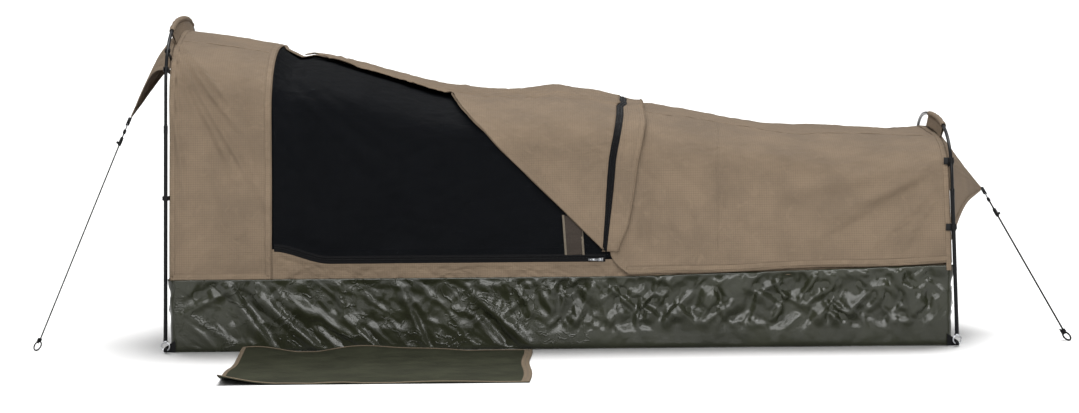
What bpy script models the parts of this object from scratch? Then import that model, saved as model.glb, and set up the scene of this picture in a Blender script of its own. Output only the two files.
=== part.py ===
"""A canvas swag: a PVC tub with a foam mattress in it, and a canvas canopy held up by two bowed poles.

Metres, +Z up. +X runs from the sleeper's head to the foot, and the door is on the -Y side.
The origin is at the middle of the tub's underside.
"""

import math

import bmesh
import bpy
import numpy as np
from mathutils import Matrix, Vector

# Tub and bedding
TUB_LENGTH = 2.126
TUB_WIDTH = 0.900
TUB_HEIGHT = 0.198
TUB_WALL = 0.003
TUB_CORNER = 0.020
CORNER_STEPS = 3
MATTRESS_THICK = 0.062
MATTRESS_CROWN = 0.008
MATTRESS_EDGE = 0.014
MATTRESS_ROOM = 0.009
MATTRESS_PULL = 0.006
COVER_CLOTH = 0.0025
COVER_SLOT = 0.600
SIDE_SHARES = (0.75, 0.5, 0.25, 0, -0.25, -0.5, -0.75)
UNDER_SHARES = (0.75, 0.4, 0.0)
TOP_SHARES = (0.0, 0.06, 0.18, 0.4, 0.75)
SWELL_ANGLES = (-60, -30, 0, 30, 60)

# Cloth and clearances
CLOTH = 0.002
MESH_CLOTH = 0.0012
GAP = 0.0003
SHARP_EDGE = math.radians(35)
LAYER_ROOM = 0.0009
OVERRUN = 0.010

# Canopy section at each end: ridge under the pole's crown, wall's turn under the ridge, roundness
HEAD_RIDGE_DROP = 0.0375
FOOT_RIDGE_DROP = 0.0375
HEAD_TURN_DROP = 0.158
FOOT_TURN_DROP = 0.129
HEAD_ROUND_SHARE = 2.5
FOOT_ROUND_SHARE = 2.8
MIDDLE_TURN_DROP = 0.060
WALL_DRAW_IN = 0.014
ROOF_ARC_SHARE = 0.87
SEAM_SIDE_SHARE = 0.53
RIDGE_SHARES = (
    (0.000, 1.000),
    (0.127, 0.834),
    (0.218, 0.678),
    (0.360, 0.436),
    (0.502, 0.356),
    (0.597, 0.263),
    (0.715, 0.149),
    (0.810, 0.073),
    (1.000, 0.000),
)

# Door side: where the head panel ends, the fold of the door, its zip and storm strip
HEAD_PANEL = 0.279
BAND_HEIGHT = 0.047
BAND_RISE = 0.035
BAND_RISE_RUN = 0.160
DOOR_CORNER_FROM_HEAD = 1.185
DOOR_CORNER_RISE = 0.022
FOLD_TOP_FROM_HEAD = 0.767
FLAP_TOP_FROM_HEAD = 0.400
FLAP_BACK_FROM_HEAD = 0.660
FLAP_BACK_ROW_SHARE = 2.60
FLAP_TURN_SHARE = 0.12
FLAP_LEAN = 0.055
ZIP_WIDTH = 0.020
ZIP_TAPE = 0.012
ZIP_START = 0.042
STRIP_WIDTH = 0.046
MESH_PAST_FOLD = 0.170
TAPE_FROM_CORNER = 0.049
TAPE_WIDTH = 0.068
TAPE_HEIGHT = 0.120
CORNER_CURL = 0.060

# Vents in the two end walls
HEAD_VENT_WIDTH = 0.500
HEAD_VENT_RISE = 0.162
HEAD_VENT_TALL = 0.300
FOOT_VENT_WIDTH = 0.460
FOOT_VENT_RISE = 0.082
FOOT_VENT_TALL = 0.170
VENT_CORNER = 0.040

# Poles
POLE_OUT = 0.012
HEAD_CROWN = 0.8955
FOOT_CROWN = 0.6065
HEAD_BOW_RISE = 0.1755
FOOT_BOW_RISE = 0.1565
HEAD_BOW_SHARE = 2.5
FOOT_BOW_SHARE = 2.8
HEAD_LEAN = math.radians(1.0)
FOOT_LEAN = math.radians(1.8)
LEG_RADIUS = 0.0055
LEG_BORE = 0.0042
CROWN_RADIUS = 0.0046
PLUG_RADIUS = 0.0038
PLUG_LENGTH = 0.040
HEAD_JOINT_DROP = 0.100
FOOT_JOINT_DROP = 0.020
POLE_SIDES = 8
CROWN_STEPS = 18
LEG_END_SHARE = 0.98

# Pins at the pole feet, and the webbing that holds them to the tub
HINGE_HEIGHT = 0.0185
EYE_RADIUS = 0.011
EYE_WIRE = 0.002
COLLAR_RADIUS = 0.0075
COLLAR_THICK = 0.003
SPIGOT_RADIUS = 0.0038
SPIGOT_LENGTH = 0.050
TAB_WIDTH = 0.010
TAB_CLOTH = 0.0024
TAB_SLOT = 0.004
TAB_PATCH = 0.045
TAB_REACH = 0.058

# Sleeves and clips that hold the canvas to the poles
SLEEVE_WALL = 0.002
HEAD_SLEEVE_HALF = 0.300
FOOT_SLEEVE_HALF = 0.170
CLIP_WALL = 0.0022
CLIP_LENGTH = 0.012
CLIP_ARM = 0.006
CLIP_PLAY = 0.0011
CLIP_MOUTH = math.radians(80)
CLIP_CLEAR_RISE = 0.060
HEAD_UPPER_CLIP_DROP = 0.0955
HEAD_LOWER_CLIP_RISE = 0.224
FOOT_UPPER_CLIP_DROP = 0.1025
FOOT_LOWER_CLIP_RISE = 0.127

# Awnings: the lower corners and the tip under the ridge, and the tip's reach out from the wall
HEAD_AWNING_CORNER_DROP = 0.098
HEAD_AWNING_REACH = 0.149
HEAD_AWNING_TIP_DROP = 0.244
FOOT_AWNING_CORNER_DROP = 0.279
FOOT_AWNING_REACH = 0.134
FOOT_AWNING_TIP_DROP = 0.172
HEAD_AWNING_HOLLOW_SHARE = 0.24
FOOT_AWNING_HOLLOW_SHARE = 0.09
AWNING_HOLLOW_TURN = 0.8 * math.pi
AWNING_TIP_SHARE = 0.975

# Guy lines: where each one meets the ground, and the pieces at its top
HEAD_GUY_OUT = 0.376
HEAD_GUY_SIDE = 0.376
FOOT_GUY_OUT = 0.331
FOOT_GUY_SIDE = 0.354
HEAD_ROPE_RADIUS = 0.0020
FOOT_ROPE_RADIUS = 0.0025
TIP_ROOM = 0.0020
WEBBING_LENGTH = 0.026
WEBBING_WIDTH = 0.012
WEBBING_CLOTH = 0.002
WEBBING_SHARES = (0.6, 0.5)
ELASTIC_LENGTH = 0.014
ELASTIC_RADIUS = 0.0018
TOGGLE_LENGTH = 0.014
TOGGLE_RADIUS = 0.0045
TOGGLE_SHARES = ((0, 0.5), (0.15, 0.85), (0.5, 1.0), (0.85, 0.85), (1, 0.5))
ADJUSTER_LENGTH = 0.026
ADJUSTER_WALL = 0.0022
ADJUSTER_KNOB = 0.0035
ADJUSTER_KNOB_OUT = 0.0105
ADJUSTER_KNOB_SHARE = 0.72
ADJUSTER_NECK_SHARE = 0.7
ADJUSTER_SHARES = ((0, 0.85), (0.2, 1.0), (0.8, 1.0), (1, 0.85))
HEAD_ADJUSTER_AT = 0.012
FOOT_ADJUSTER_AT = 0.028
ROPE_CLEARANCE = 0.0006
ROPE_OFF_GROUND = 0.0001
ROPE_LOOP = 0.014
ROPE_LOOP_SHARE = 0.8
ROPE_LOOP_START = math.radians(25)
ROPE_POINTS = 14
LOOP_POINTS = 12

# Zip sliders: the body, the bridge over it, and the pull whose end bar turns under the bridge
SLIDER_LENGTH = 0.013
SLIDER_WIDTH = 0.009
SLIDER_THICK = 0.0035
BRIDGE_HALF = 0.0050
BRIDGE_WIDTH = 0.0020
BRIDGE_ROOM = 0.0029
BRIDGE_THICK = 0.0012
PULL_LENGTH = 0.034
PULL_WIDTH = 0.006
PULL_THICK = 0.0016
PULL_EYE = 0.0066
PULL_SIDE_ROOM = 0.0006
SLIDER_FROM_CORNER = 0.013
MESH_SLIDER_FROM_CORNER = 0.030

# Mat on the ground beside the door
MAT_LENGTH = 0.780
MAT_DEPTH = 0.705
MAT_FROM_HEAD = 0.200
MAT_OFF_TUB = 0.022
MAT_THICK = 0.004
MAT_CURL_LENGTH = 0.140
MAT_CURL_HEIGHT = 0.026
MAT_CURL_SHARE = 1.5
MAT_SPLAY = 0.026

HEAD_END = -TUB_LENGTH / 2
FOOT_END = TUB_LENGTH / 2
HALF_WIDTH = TUB_WIDTH / 2
LAYER = CLOTH + LAYER_ROOM
NEAR, FAR = -1, 1
HINGE_X = TUB_LENGTH / 2 + POLE_OUT
HINGE_Y = HALF_WIDTH + POLE_OUT
HEAD_RIDGE = HEAD_CROWN - HEAD_RIDGE_DROP
FOOT_RIDGE = FOOT_CROWN - FOOT_RIDGE_DROP
HEAD_TURN = HEAD_RIDGE - HEAD_TURN_DROP
FOOT_TURN = FOOT_RIDGE - FOOT_TURN_DROP
HEAD_BEND = HEAD_CROWN - HEAD_BOW_RISE
FOOT_BEND = FOOT_CROWN - FOOT_BOW_RISE
BAND_TOP = TUB_HEIGHT + BAND_HEIGHT
DOOR_CORNER_HEIGHT = BAND_TOP + DOOR_CORNER_RISE


def material(name, colour, roughness, metallic=0.0):
    made = bpy.data.materials.new(name)
    made.use_nodes = True
    shader = made.node_tree.nodes["Principled BSDF"]
    shader.inputs["Base Color"].default_value = (*colour, 1.0)
    shader.inputs["Roughness"].default_value = roughness
    shader.inputs["Metallic"].default_value = metallic
    made.diffuse_color = (*colour, 1.0)
    return made


CANVAS = (0.262, 0.198, 0.138)
PVC = (0.049, 0.051, 0.034)
FLY_MESH = (0.008, 0.009, 0.010)
BLACK = (0.010, 0.010, 0.011)
STEEL = (0.55, 0.56, 0.58)
FOAM = (0.70, 0.66, 0.52)
ELASTIC_GREY = (0.45, 0.45, 0.45)


def add(name, mesh, finish, smooth=True):
    """One named piece: its mesh with outward normals, and a material of its own."""
    work = bmesh.new()
    work.from_mesh(mesh)
    bmesh.ops.recalc_face_normals(work, faces=work.faces)
    work.to_mesh(mesh)
    work.free()
    if smooth:
        mesh.shade_smooth()
        mesh.set_sharp_from_angle(angle=SHARP_EDGE)
    colour, roughness, metallic = finish
    mesh.materials.append(material(name, colour, roughness, metallic))
    piece = bpy.data.objects.new(name, mesh)
    bpy.context.scene.collection.objects.link(piece)
    return piece


def mesh_of(points, faces):
    mesh = bpy.data.meshes.new("mesh")
    mesh.from_pydata([tuple(map(float, point)) for point in points], [], faces)
    return mesh


def ring_mesh(rings, closed=False):
    """Rings of equal count joined one after another, capped at both ends unless the last meets the first."""
    rings = [np.asarray(ring, float) for ring in rings]
    count = len(rings[0])
    points = np.concatenate(rings)
    faces = []
    for level in range(len(rings) if closed else len(rings) - 1):
        low = level * count
        high = (level + 1) % len(rings) * count
        for k in range(count):
            after = (k + 1) % count
            faces.append((low + k, low + after, high + after, high + k))
    if not closed:
        faces.append(tuple(range(count))[::-1])
        faces.append(tuple(range(len(points) - count, len(points))))
    return mesh_of(points, faces)


def sheet_mesh(outer, inner):
    """A closed thin sheet between two grids of points, the outer and the inner face."""
    rows, columns = outer.shape[:2]
    points = np.concatenate([outer.reshape(-1, 3), inner.reshape(-1, 3)])
    half = rows * columns
    faces = []
    for i in range(rows - 1):
        for j in range(columns - 1):
            a = i * columns + j
            quad = (a, a + 1, a + columns + 1, a + columns)
            faces.append(quad)
            faces.append(tuple(half + k for k in quad[::-1]))
    rim = [j for j in range(columns)]
    rim += [i * columns + columns - 1 for i in range(1, rows)]
    rim += [(rows - 1) * columns + j for j in range(columns - 2, -1, -1)]
    rim += [i * columns for i in range(rows - 2, 0, -1)]
    for k, a in enumerate(rim):
        b = rim[(k + 1) % len(rim)]
        faces.append((a, half + a, half + b, b))
    return mesh_of(points, faces)


def combined(name, base, other, operation):
    """The mesh of one solid joined with, or cut by, another."""
    body = bpy.data.objects.new(name + "_base", base)
    tool = bpy.data.objects.new(name + "_tool", other)
    for item in (body, tool):
        bpy.context.scene.collection.objects.link(item)
    cut = body.modifiers.new("cut", "BOOLEAN")
    cut.operation = operation
    cut.object = tool
    bpy.context.view_layer.update()
    graph = bpy.context.evaluated_depsgraph_get()
    made = bpy.data.meshes.new_from_object(body.evaluated_get(graph))
    for item in (body, tool):
        bpy.data.objects.remove(item)
    made.materials.clear()
    return made


def outward(mesh):
    work = bmesh.new()
    work.from_mesh(mesh)
    bmesh.ops.recalc_face_normals(work, faces=work.faces)
    work.to_mesh(mesh)
    work.free()
    return mesh


def smooth_step(value):
    value = np.clip(value, 0.0, 1.0)
    return value * value * (3 - 2 * value)


def along(x):
    """Share of the way from the head end to the foot end."""
    return (x - HEAD_END) / TUB_LENGTH


def ridge_height(x):
    """Height of the ridge at x, a smooth line through the listed shares of the drop from head to foot."""
    spots = np.array(RIDGE_SHARES)
    share = np.clip(along(x), 0.0, 1.0)
    slope = np.gradient(spots[:, 1], spots[:, 0])
    k = np.clip(np.searchsorted(spots[:, 0], share, side="right") - 1, 0, len(spots) - 2)
    width = spots[k + 1, 0] - spots[k, 0]
    t = (share - spots[k, 0]) / width
    drop = (
        (2 * t**3 - 3 * t**2 + 1) * spots[k, 1]
        + (t**3 - 2 * t**2 + t) * width * slope[k]
        + (3 * t**2 - 2 * t**3) * spots[k + 1, 1]
        + (t**3 - t**2) * width * slope[k + 1]
    )
    return FOOT_RIDGE + (HEAD_RIDGE - FOOT_RIDGE) * drop


def turn_height(x):
    """Height where the upright wall turns over into the roof."""
    share = along(x)
    straight = HEAD_TURN + (FOOT_TURN - HEAD_TURN) * share
    return straight - MIDDLE_TURN_DROP * 4 * share * (1 - share)


def wall_and_roof(x):
    """Lengths of half the section: its upright wall, and its roof from there to the ridge."""
    roof = ROOF_ARC_SHARE * (HALF_WIDTH + ridge_height(x) - turn_height(x))
    return turn_height(x) - TUB_HEIGHT, roof


def leg_share(x):
    """Share of the half section, from tub to ridge, that is upright wall."""
    wall, roof = wall_and_roof(x)
    return wall / (wall + roof)


def canopy(x, q):
    """Point of the canopy's middle surface. q is -1 at the near rim, 0 on the ridge and 1 at the far rim."""
    x, q = np.broadcast_arrays(np.asarray(x, float), np.asarray(q, float))
    rise = 1 - np.abs(q)
    wall = leg_share(x)
    turn = turn_height(x)
    ridge = ridge_height(x)
    roundness = HEAD_ROUND_SHARE + (FOOT_ROUND_SHARE - HEAD_ROUND_SHARE) * along(x)
    angle = np.clip((rise - wall) / (1 - wall), 0.0, 1.0) * math.pi / 2
    low = rise <= wall
    side = np.where(low, 1.0, np.cos(angle).clip(0) ** (2 / roundness))
    height = np.where(
        low,
        TUB_HEIGHT + GAP + (turn - TUB_HEIGHT) * rise / wall,
        turn + GAP + (ridge - turn) * np.sin(angle) ** (2 / roundness),
    )
    middle = np.sin(math.pi * np.clip(along(x), 0.0, 1.0)) ** 2
    above = np.clip((height - DOOR_CORNER_HEIGHT) / (ridge - DOOR_CORNER_HEIGHT), 0.0, 1.0)
    drawn = WALL_DRAW_IN * middle * np.sin(math.pi * above) ** 2
    y = np.sign(q) * side * (HALF_WIDTH - CLOTH / 2 - drawn)
    lean = math.tan(HEAD_LEAN) * (1 - along(x)) - math.tan(FOOT_LEAN) * along(x)
    return np.stack([x + (height - TUB_HEIGHT) * lean, y, height], axis=-1)


def canopy_normal(x, q):
    """Outward direction of the canopy, from small steps both ways."""
    step = 1e-3
    down = canopy(x, q + step) - canopy(x, q - step)
    on = canopy(x + step, q) - canopy(x - step, q)
    across = np.cross(on, down)
    return across / np.linalg.norm(across, axis=-1, keepdims=True)


def at_height(x, z):
    """w on the near wall's upright part at height z."""
    rise = leg_share(x) * (z - TUB_HEIGHT) / (turn_height(x) - TUB_HEIGHT)
    return rise / (1 + seam(x))


def seam(x):
    """q of the seam between wall and roof, where the section has a set share of its half width."""
    roundness = HEAD_ROUND_SHARE + (FOOT_ROUND_SHARE - HEAD_ROUND_SHARE) * along(x)
    angle = np.arccos(SEAM_SIDE_SHARE ** (roundness / 2))
    wall = leg_share(x)
    return wall + (1 - wall) * angle / (math.pi / 2) - 1


def step_of(length, x):
    """A length along the near wall, as a step of w."""
    return length / sum(wall_and_roof(x)) / (1 + seam(x))


def q_of(x, w):
    """q from w: 0 near rim, 1 near seam, 2 ridge, 3 far seam, 4 far rim."""
    edge = seam(x)
    return np.select(
        [w <= 1, w <= 3], [(1 + edge) * w - 1, edge * (2 - w)], (1 + edge) * (w - 3) - edge
    )


def patch(name, left, right, rows, columns, layer, finish, cloth=CLOTH):
    """A cloth panel on the canopy.

    Each row is a value of w, or a function of x that gives it. left and right give x for a w.
    layer is how far the panel's inner face lies outside the inner face of the canvas.
    """
    shares = np.linspace(0, 1, columns) if isinstance(columns, int) else np.asarray(columns)
    lines = []
    for row in rows:
        w = row if not callable(row) else row(np.array(DOOR_CORNER))
        x = mix(left(w), right(w), shares)
        if callable(row):
            w = row(x)
        lines.append(np.stack([x, q_of(x, w + 0 * x)], axis=-1))
    x, q = np.moveaxis(np.array(lines), -1, 0)
    middle = canopy(x, q)
    out = canopy_normal(x, q)
    low = layer - CLOTH / 2
    mesh = sheet_mesh(middle + out * (low + cloth), middle + out * low)
    return add(name, mesh, finish)


def mix(low, high, share):
    return low + (high - low) * share


TAN = (CANVAS, 0.85, 0.0)
NET = (FLY_MESH, 0.9, 0.0)
ZIP = (BLACK, 0.6, 0.0)
PANEL_EDGE = HEAD_END + HEAD_PANEL
DOOR_CORNER = HEAD_END + DOOR_CORNER_FROM_HEAD
FOLD_TOP = HEAD_END + FOLD_TOP_FROM_HEAD


def band_top(x):
    """The door opening's lower edge, which sweeps up to the head panel."""
    sweep = smooth_step((PANEL_EDGE + BAND_RISE_RUN - x) / BAND_RISE_RUN)
    return BAND_TOP + BAND_RISE * sweep


def fold_line(w):
    """x of the door's folded edge: from the side, a straight slant from the slider up to the roof seam."""
    top = canopy(FOLD_TOP, q_of(FOLD_TOP, 1.0))[..., 2]
    x = mix(DOOR_CORNER, FOLD_TOP, np.clip(w, 0, 1))
    for _ in range(4):
        height = canopy(x, q_of(x, np.clip(w, 0, 1)))[..., 2]
        share = np.clip((height - DOOR_CORNER_HEIGHT) / (top - DOOR_CORNER_HEIGHT), 0, 1)
        x = mix(DOOR_CORNER, FOLD_TOP, share)
    return x


def make_tub():
    inner_radius = TUB_CORNER - TUB_WALL
    half_x, half_y = TUB_LENGTH / 2, HALF_WIDTH
    rings = [
        rounded(half_x, half_y, TUB_CORNER, CORNER_STEPS, 0),
        rounded(half_x, half_y, TUB_CORNER, CORNER_STEPS, TUB_HEIGHT),
        rounded(half_x - TUB_WALL, half_y - TUB_WALL, inner_radius, CORNER_STEPS, TUB_HEIGHT),
        rounded(half_x - TUB_WALL, half_y - TUB_WALL, inner_radius, CORNER_STEPS, TUB_WALL),
    ]
    add("floor_tub", ring_mesh(rings), (PVC, 0.35, 0.0))


def rounded(half_x, half_y, radius, steps, z, pull=0.0):
    """A rectangle with round corners, its long sides drawn in by pull at the middle, as a ring at height z."""
    centres = (
        (half_x - radius, half_y - radius, 0),
        (radius - half_x, half_y - radius, 90),
        (radius - half_x, radius - half_y, 180),
        (half_x - radius, radius - half_y, 270),
    )
    ring = []
    for cx, cy, start in centres:
        for angle in np.radians(np.linspace(start, start + 90, steps + 1)):
            ring.append((cx + radius * math.cos(angle), cy + radius * math.sin(angle), z))
        if start in (0, 180):
            for share in SIDE_SHARES:
                sign = 1 if start == 0 else -1
                draw = pull * (1 - share * share)
                ring.append((sign * share * (half_x - radius), sign * (half_y - draw), z))
    return ring


def make_mattress():
    """A foam slab in a zipped cover. The cover bulges at the middle and is drawn in along its sides."""
    foam_x = TUB_LENGTH / 2 - TUB_WALL - MATTRESS_ROOM - MATTRESS_EDGE
    foam_y = HALF_WIDTH - TUB_WALL - MATTRESS_ROOM - MATTRESS_EDGE - MATTRESS_PULL
    bottom = TUB_WALL + GAP
    foam_low = bottom + COVER_CLOTH + GAP
    foam_high = bottom + MATTRESS_THICK - COVER_CLOTH - GAP
    corner = MATTRESS_EDGE
    foam = [rounded(foam_x, foam_y, corner, CORNER_STEPS, z) for z in (foam_low, foam_high)]
    add("mattress_foam", ring_mesh(foam), (FOAM, 0.9, 0.0))
    rings = []
    for inset in UNDER_SHARES:
        inner = inset * foam_y
        rings.append(rounded(foam_x - inner, foam_y - inner, corner, 3, bottom, MATTRESS_PULL))
    for angle in np.radians(SWELL_ANGLES):
        swell = MATTRESS_EDGE * math.cos(angle)
        z = bottom + MATTRESS_THICK / 2 * (1 + math.sin(angle))
        half_x, half_y = foam_x + swell, foam_y + swell
        rings.append(rounded(half_x, half_y, corner + swell, CORNER_STEPS, z, MATTRESS_PULL))
    for inset in TOP_SHARES:
        inner = inset * foam_y
        z = bottom + MATTRESS_THICK + MATTRESS_CROWN * smooth_step(inset / TOP_SHARES[-1])
        rings.append(rounded(foam_x - inner, foam_y - inner, corner, CORNER_STEPS, z, MATTRESS_PULL))
    outer = outward(ring_mesh(rings))
    room = [
        rounded(foam_x + GAP, foam_y + GAP, corner, CORNER_STEPS, z)
        for z in (foam_low - GAP, foam_high + GAP)
    ]
    hollow = outward(ring_mesh(room))
    cover = combined("cover", outer, hollow, "DIFFERENCE")
    slot_x = foam_x + MATTRESS_EDGE / 2 + OVERRUN / 2
    slot_low = (foam_low + foam_high) / 2 - COVER_CLOTH
    slot = [
        [
            (slot_x + dx * (MATTRESS_EDGE / 2 + OVERRUN), dy * COVER_SLOT / 2, z)
            for dx, dy in ((-1, -1), (1, -1), (1, 1), (-1, 1))
        ]
        for z in (slot_low, slot_low + 2 * COVER_CLOTH)
    ]
    cover = combined("cover", cover, outward(ring_mesh(slot)), "DIFFERENCE")
    add("mattress_cover", cover, ((0.035, 0.037, 0.030), 0.8, 0.0))


WALL_ROW_SHARES = (0.22, 0.40, 0.52, 0.60, 0.68, 0.76, 0.84, 0.92)
ROOF_ROW_SHARES = (1.14, 1.30, 1.50, 1.75, 2.0)
FAR_ROW_SHARES = tuple(4 - row for row in ROOF_ROW_SHARES[-2::-1])
HALF_GAP = GAP / 2


def under_seam(x):
    return 1 - step_of(HALF_GAP, x)


def over_seam(x):
    return 1 + step_of(HALF_GAP, x)


def at_corner(x):
    return at_height(x, DOOR_CORNER_HEIGHT)


def keep(x):
    """A panel edge at one x all the way up."""
    return lambda w: x


def make_canopy():
    def band_edge(x):
        return at_height(x, band_top(x)) - step_of(HALF_GAP, x)

    def net_edge(x):
        return at_height(x, band_top(x)) + step_of(HALF_GAP, x)

    def panel_low(x):
        return at_height(x, TUB_HEIGHT + CLOTH)

    def panel_swept(x):
        return at_height(x, (TUB_HEIGHT + DOOR_CORNER_HEIGHT) / 2)

    def far(row):
        return lambda x: 4 - row(x)

    def panel_left(w):
        corner = at_corner(np.array(DOOR_CORNER))
        sweep = np.clip(1 - w / corner, 0, 1) ** 2
        return fold_line(w) + SLIDER_LENGTH + CORNER_CURL * sweep

    wall = (*WALL_ROW_SHARES, under_seam)
    patch("head_side_panel", keep(HEAD_END), keep(PANEL_EDGE - HALF_GAP), (0, *wall), 7, 0, TAN)
    band_start = PANEL_EDGE + HALF_GAP
    net_stop = DOOR_CORNER + MESH_PAST_FOLD
    spots = np.concatenate([np.linspace(band_start, net_stop, 16), np.linspace(net_stop, FOOT_END, 6)[1:]])
    shares = (spots - band_start) / (FOOT_END - band_start)
    patch("lower_band", keep(band_start), keep(FOOT_END), (0, band_edge), shares, 0, TAN)
    net_end = keep(net_stop)
    patch(
        "mesh_door", keep(PANEL_EDGE + HALF_GAP), net_end, (net_edge, *wall), 16, 0, NET, MESH_CLOTH
    )
    roof = (over_seam, *ROOF_ROW_SHARES, *FAR_ROW_SHARES, far(over_seam))
    patch("roof_panel", keep(HEAD_END), keep(FOOT_END), roof, 26, 0, TAN)
    far_wall = (far(under_seam), *(4 - row for row in WALL_ROW_SHARES[::-1]), 4)
    patch("far_side_panel", keep(HEAD_END), keep(FOOT_END), far_wall, 20, 0, TAN)
    side = (panel_low, panel_swept, at_corner, *wall)
    patch("side_panel", panel_left, keep(FOOT_END), side, 24, LAYER, TAN)


def flap_right(w):
    """x of the folded door's right edge: it climbs from the slider and leans towards the foot."""
    corner = at_corner(np.array(DOOR_CORNER))
    climb = np.clip((w - corner) / (2 - corner), 0, 1)
    return DOOR_CORNER + FLAP_LEAN * (1 - (1 - climb) ** 2)


def make_flap():
    """The door, folded back and thrown over the ridge, with its half of the zip and its storm strip."""

    def left(w):
        past = smooth_step((w - 1) / FLAP_TURN_SHARE)
        on_roof = np.clip((w - 1) / (FLAP_BACK_ROW_SHARE - 1), 0, 1)
        back = mix(HEAD_END + FLAP_TOP_FROM_HEAD, HEAD_END + FLAP_BACK_FROM_HEAD, on_roof)
        return mix(fold_line(w), back, past)

    def flap_edge(w):
        return flap_right(w) - GAP

    def zip_edge(w):
        return flap_right(w) + ZIP_WIDTH - GAP

    def strip_start(w):
        return flap_right(w) + ZIP_WIDTH

    def strip_end(w):
        return flap_right(w) + ZIP_WIDTH + STRIP_WIDTH

    rows = (at_corner, *WALL_ROW_SHARES, 1.0, *ROOF_ROW_SHARES, *FAR_ROW_SHARES[:2], FLAP_BACK_ROW_SHARE)
    patch("door_flap", left, flap_edge, rows, 15, 2 * LAYER, TAN)
    patch("flap_zip", flap_right, zip_edge, rows, 2, 2 * LAYER, ZIP)
    patch("flap_storm_strip", strip_start, strip_end, rows, 3, 2 * LAYER, TAN)


def make_door_fittings():
    def zip_low(x):
        return at_height(x, band_top(x) - ZIP_TAPE / 2)

    def zip_high(x):
        return at_height(x, band_top(x) + ZIP_TAPE / 2)

    def net_zip_low(x):
        return at_height(x, band_top(x) + GAP)

    def net_zip_high(x):
        return at_height(x, band_top(x) + ZIP_TAPE)

    def tape_low(x):
        return at_height(x, band_top(x) + ZIP_TAPE + GAP)

    def tape_high(x):
        return at_height(x, band_top(x) + ZIP_TAPE + TAPE_HEIGHT)

    start = keep(PANEL_EDGE + ZIP_START)
    patch("bottom_zip", start, keep(DOOR_CORNER), (zip_low, zip_high), 16, LAYER, ZIP)
    patch("mesh_zip", start, keep(DOOR_CORNER), (net_zip_low, net_zip_high), 16, -LAYER, ZIP)
    tape_end = DOOR_CORNER - TAPE_FROM_CORNER
    tape = ((0.05, 0.04, 0.035), 0.9, 0.0)
    patch(
        "mesh_touch_tape", keep(tape_end - TAPE_WIDTH), keep(tape_end), (tape_low, tape_high), 3,
        -LAYER, tape,
    )


def end_section(end, inset):
    """The canopy's outline at one end, drawn in by inset, from the near rim over the ridge to the far rim."""
    near = (0, *WALL_ROW_SHARES, 1.0, *ROOF_ROW_SHARES)
    rows = np.array([*near, *(4 - row for row in near[-2::-1])])
    x = np.full_like(rows, end)
    q = q_of(x, rows)
    out = canopy_normal(x, q)
    out[:, 0] = 0
    out /= np.linalg.norm(out, axis=1, keepdims=True)
    return canopy(x, q) - out * inset


def make_end_walls():
    """A flat canvas wall closes each end, with a net vent under the awning."""
    for name, end, into, vent in (
        ("head", HEAD_END, 1, (HEAD_VENT_WIDTH, TUB_HEIGHT + HEAD_VENT_RISE, HEAD_VENT_TALL)),
        ("foot", FOOT_END, -1, (FOOT_VENT_WIDTH, TUB_HEIGHT + FOOT_VENT_RISE, FOOT_VENT_TALL)),
    ):
        rings = []
        for depth in (GAP, GAP + CLOTH):
            ring = end_section(end + into * depth, CLOTH / 2 + 2 * GAP)
            ring[:, 2] = np.maximum(ring[:, 2], TUB_HEIGHT + GAP)
            rings.append(ring)
        wall = outward(ring_mesh(rings))
        width, low, tall = vent
        middle = end + into * (GAP + CLOTH / 2)
        lean = math.tan(HEAD_LEAN) if into > 0 else -math.tan(FOOT_LEAN)

        def opening(thick, room, middle=middle, width=width, low=low, tall=tall, lean=lean):
            made = []
            centre = low + tall / 2
            for depth in (-thick / 2, thick / 2):
                flat = rounded(width / 2 + room, tall / 2 + room, VENT_CORNER + room, CORNER_STEPS, 0)
                ring = [
                    (middle + depth + (b + centre - TUB_HEIGHT) * lean, a, b + centre)
                    for a, b, _ in flat
                ]
                made.append(ring)
            return outward(ring_mesh(made))

        wall = combined(name, wall, opening(OVERRUN, 0), "DIFFERENCE")
        add(name + "_end_wall", wall, TAN, smooth=False)
        add(name + "_vent_mesh", opening(MESH_CLOTH, -GAP), NET, smooth=False)


def tangents(path):
    ahead = np.gradient(path, axis=0)
    return ahead / np.linalg.norm(ahead, axis=1, keepdims=True)


def tube_rings(path, radii, sides, across):
    """Circles round a path in a plane, with the plane's own direction as one axis."""
    path = np.asarray(path, float)
    ahead = tangents(path)
    across = np.asarray(across, float)
    other = np.cross(ahead, across)
    turn = np.linspace(0, 2 * math.pi, sides, endpoint=False)
    rings = []
    for point, side, radius in zip(path, other, radii):
        ring = point + radius * (
            np.cos(turn)[:, None] * across + np.sin(turn)[:, None] * side
        )
        rings.append(ring)
    return rings


def bow_path(bend, crown, bow, low, high, steps):
    """Points (y, z) of a pole from height low up to y = -high: a straight leg that then bows over."""
    half = HINGE_Y
    y = np.linspace(-half, -high, 400)
    share = np.clip(np.abs(y) / half, 0, 1)
    z = bend + (crown - bend) * (1 - share**bow) ** (1 / bow)
    y = np.concatenate([[-half], y])
    z = np.concatenate([[low], z])
    run = np.concatenate([[0], np.cumsum(np.hypot(np.diff(y), np.diff(z)))])
    straight = bend - low
    spots = np.linspace(straight, run[-1], steps + 1)[1:]
    spots = np.concatenate([[0, straight * LEG_END_SHARE], spots])
    if straight <= 0:
        spots = np.linspace(0, run[-1], steps + 1)
    return np.interp(spots, run, y), np.interp(spots, run, z)


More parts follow.
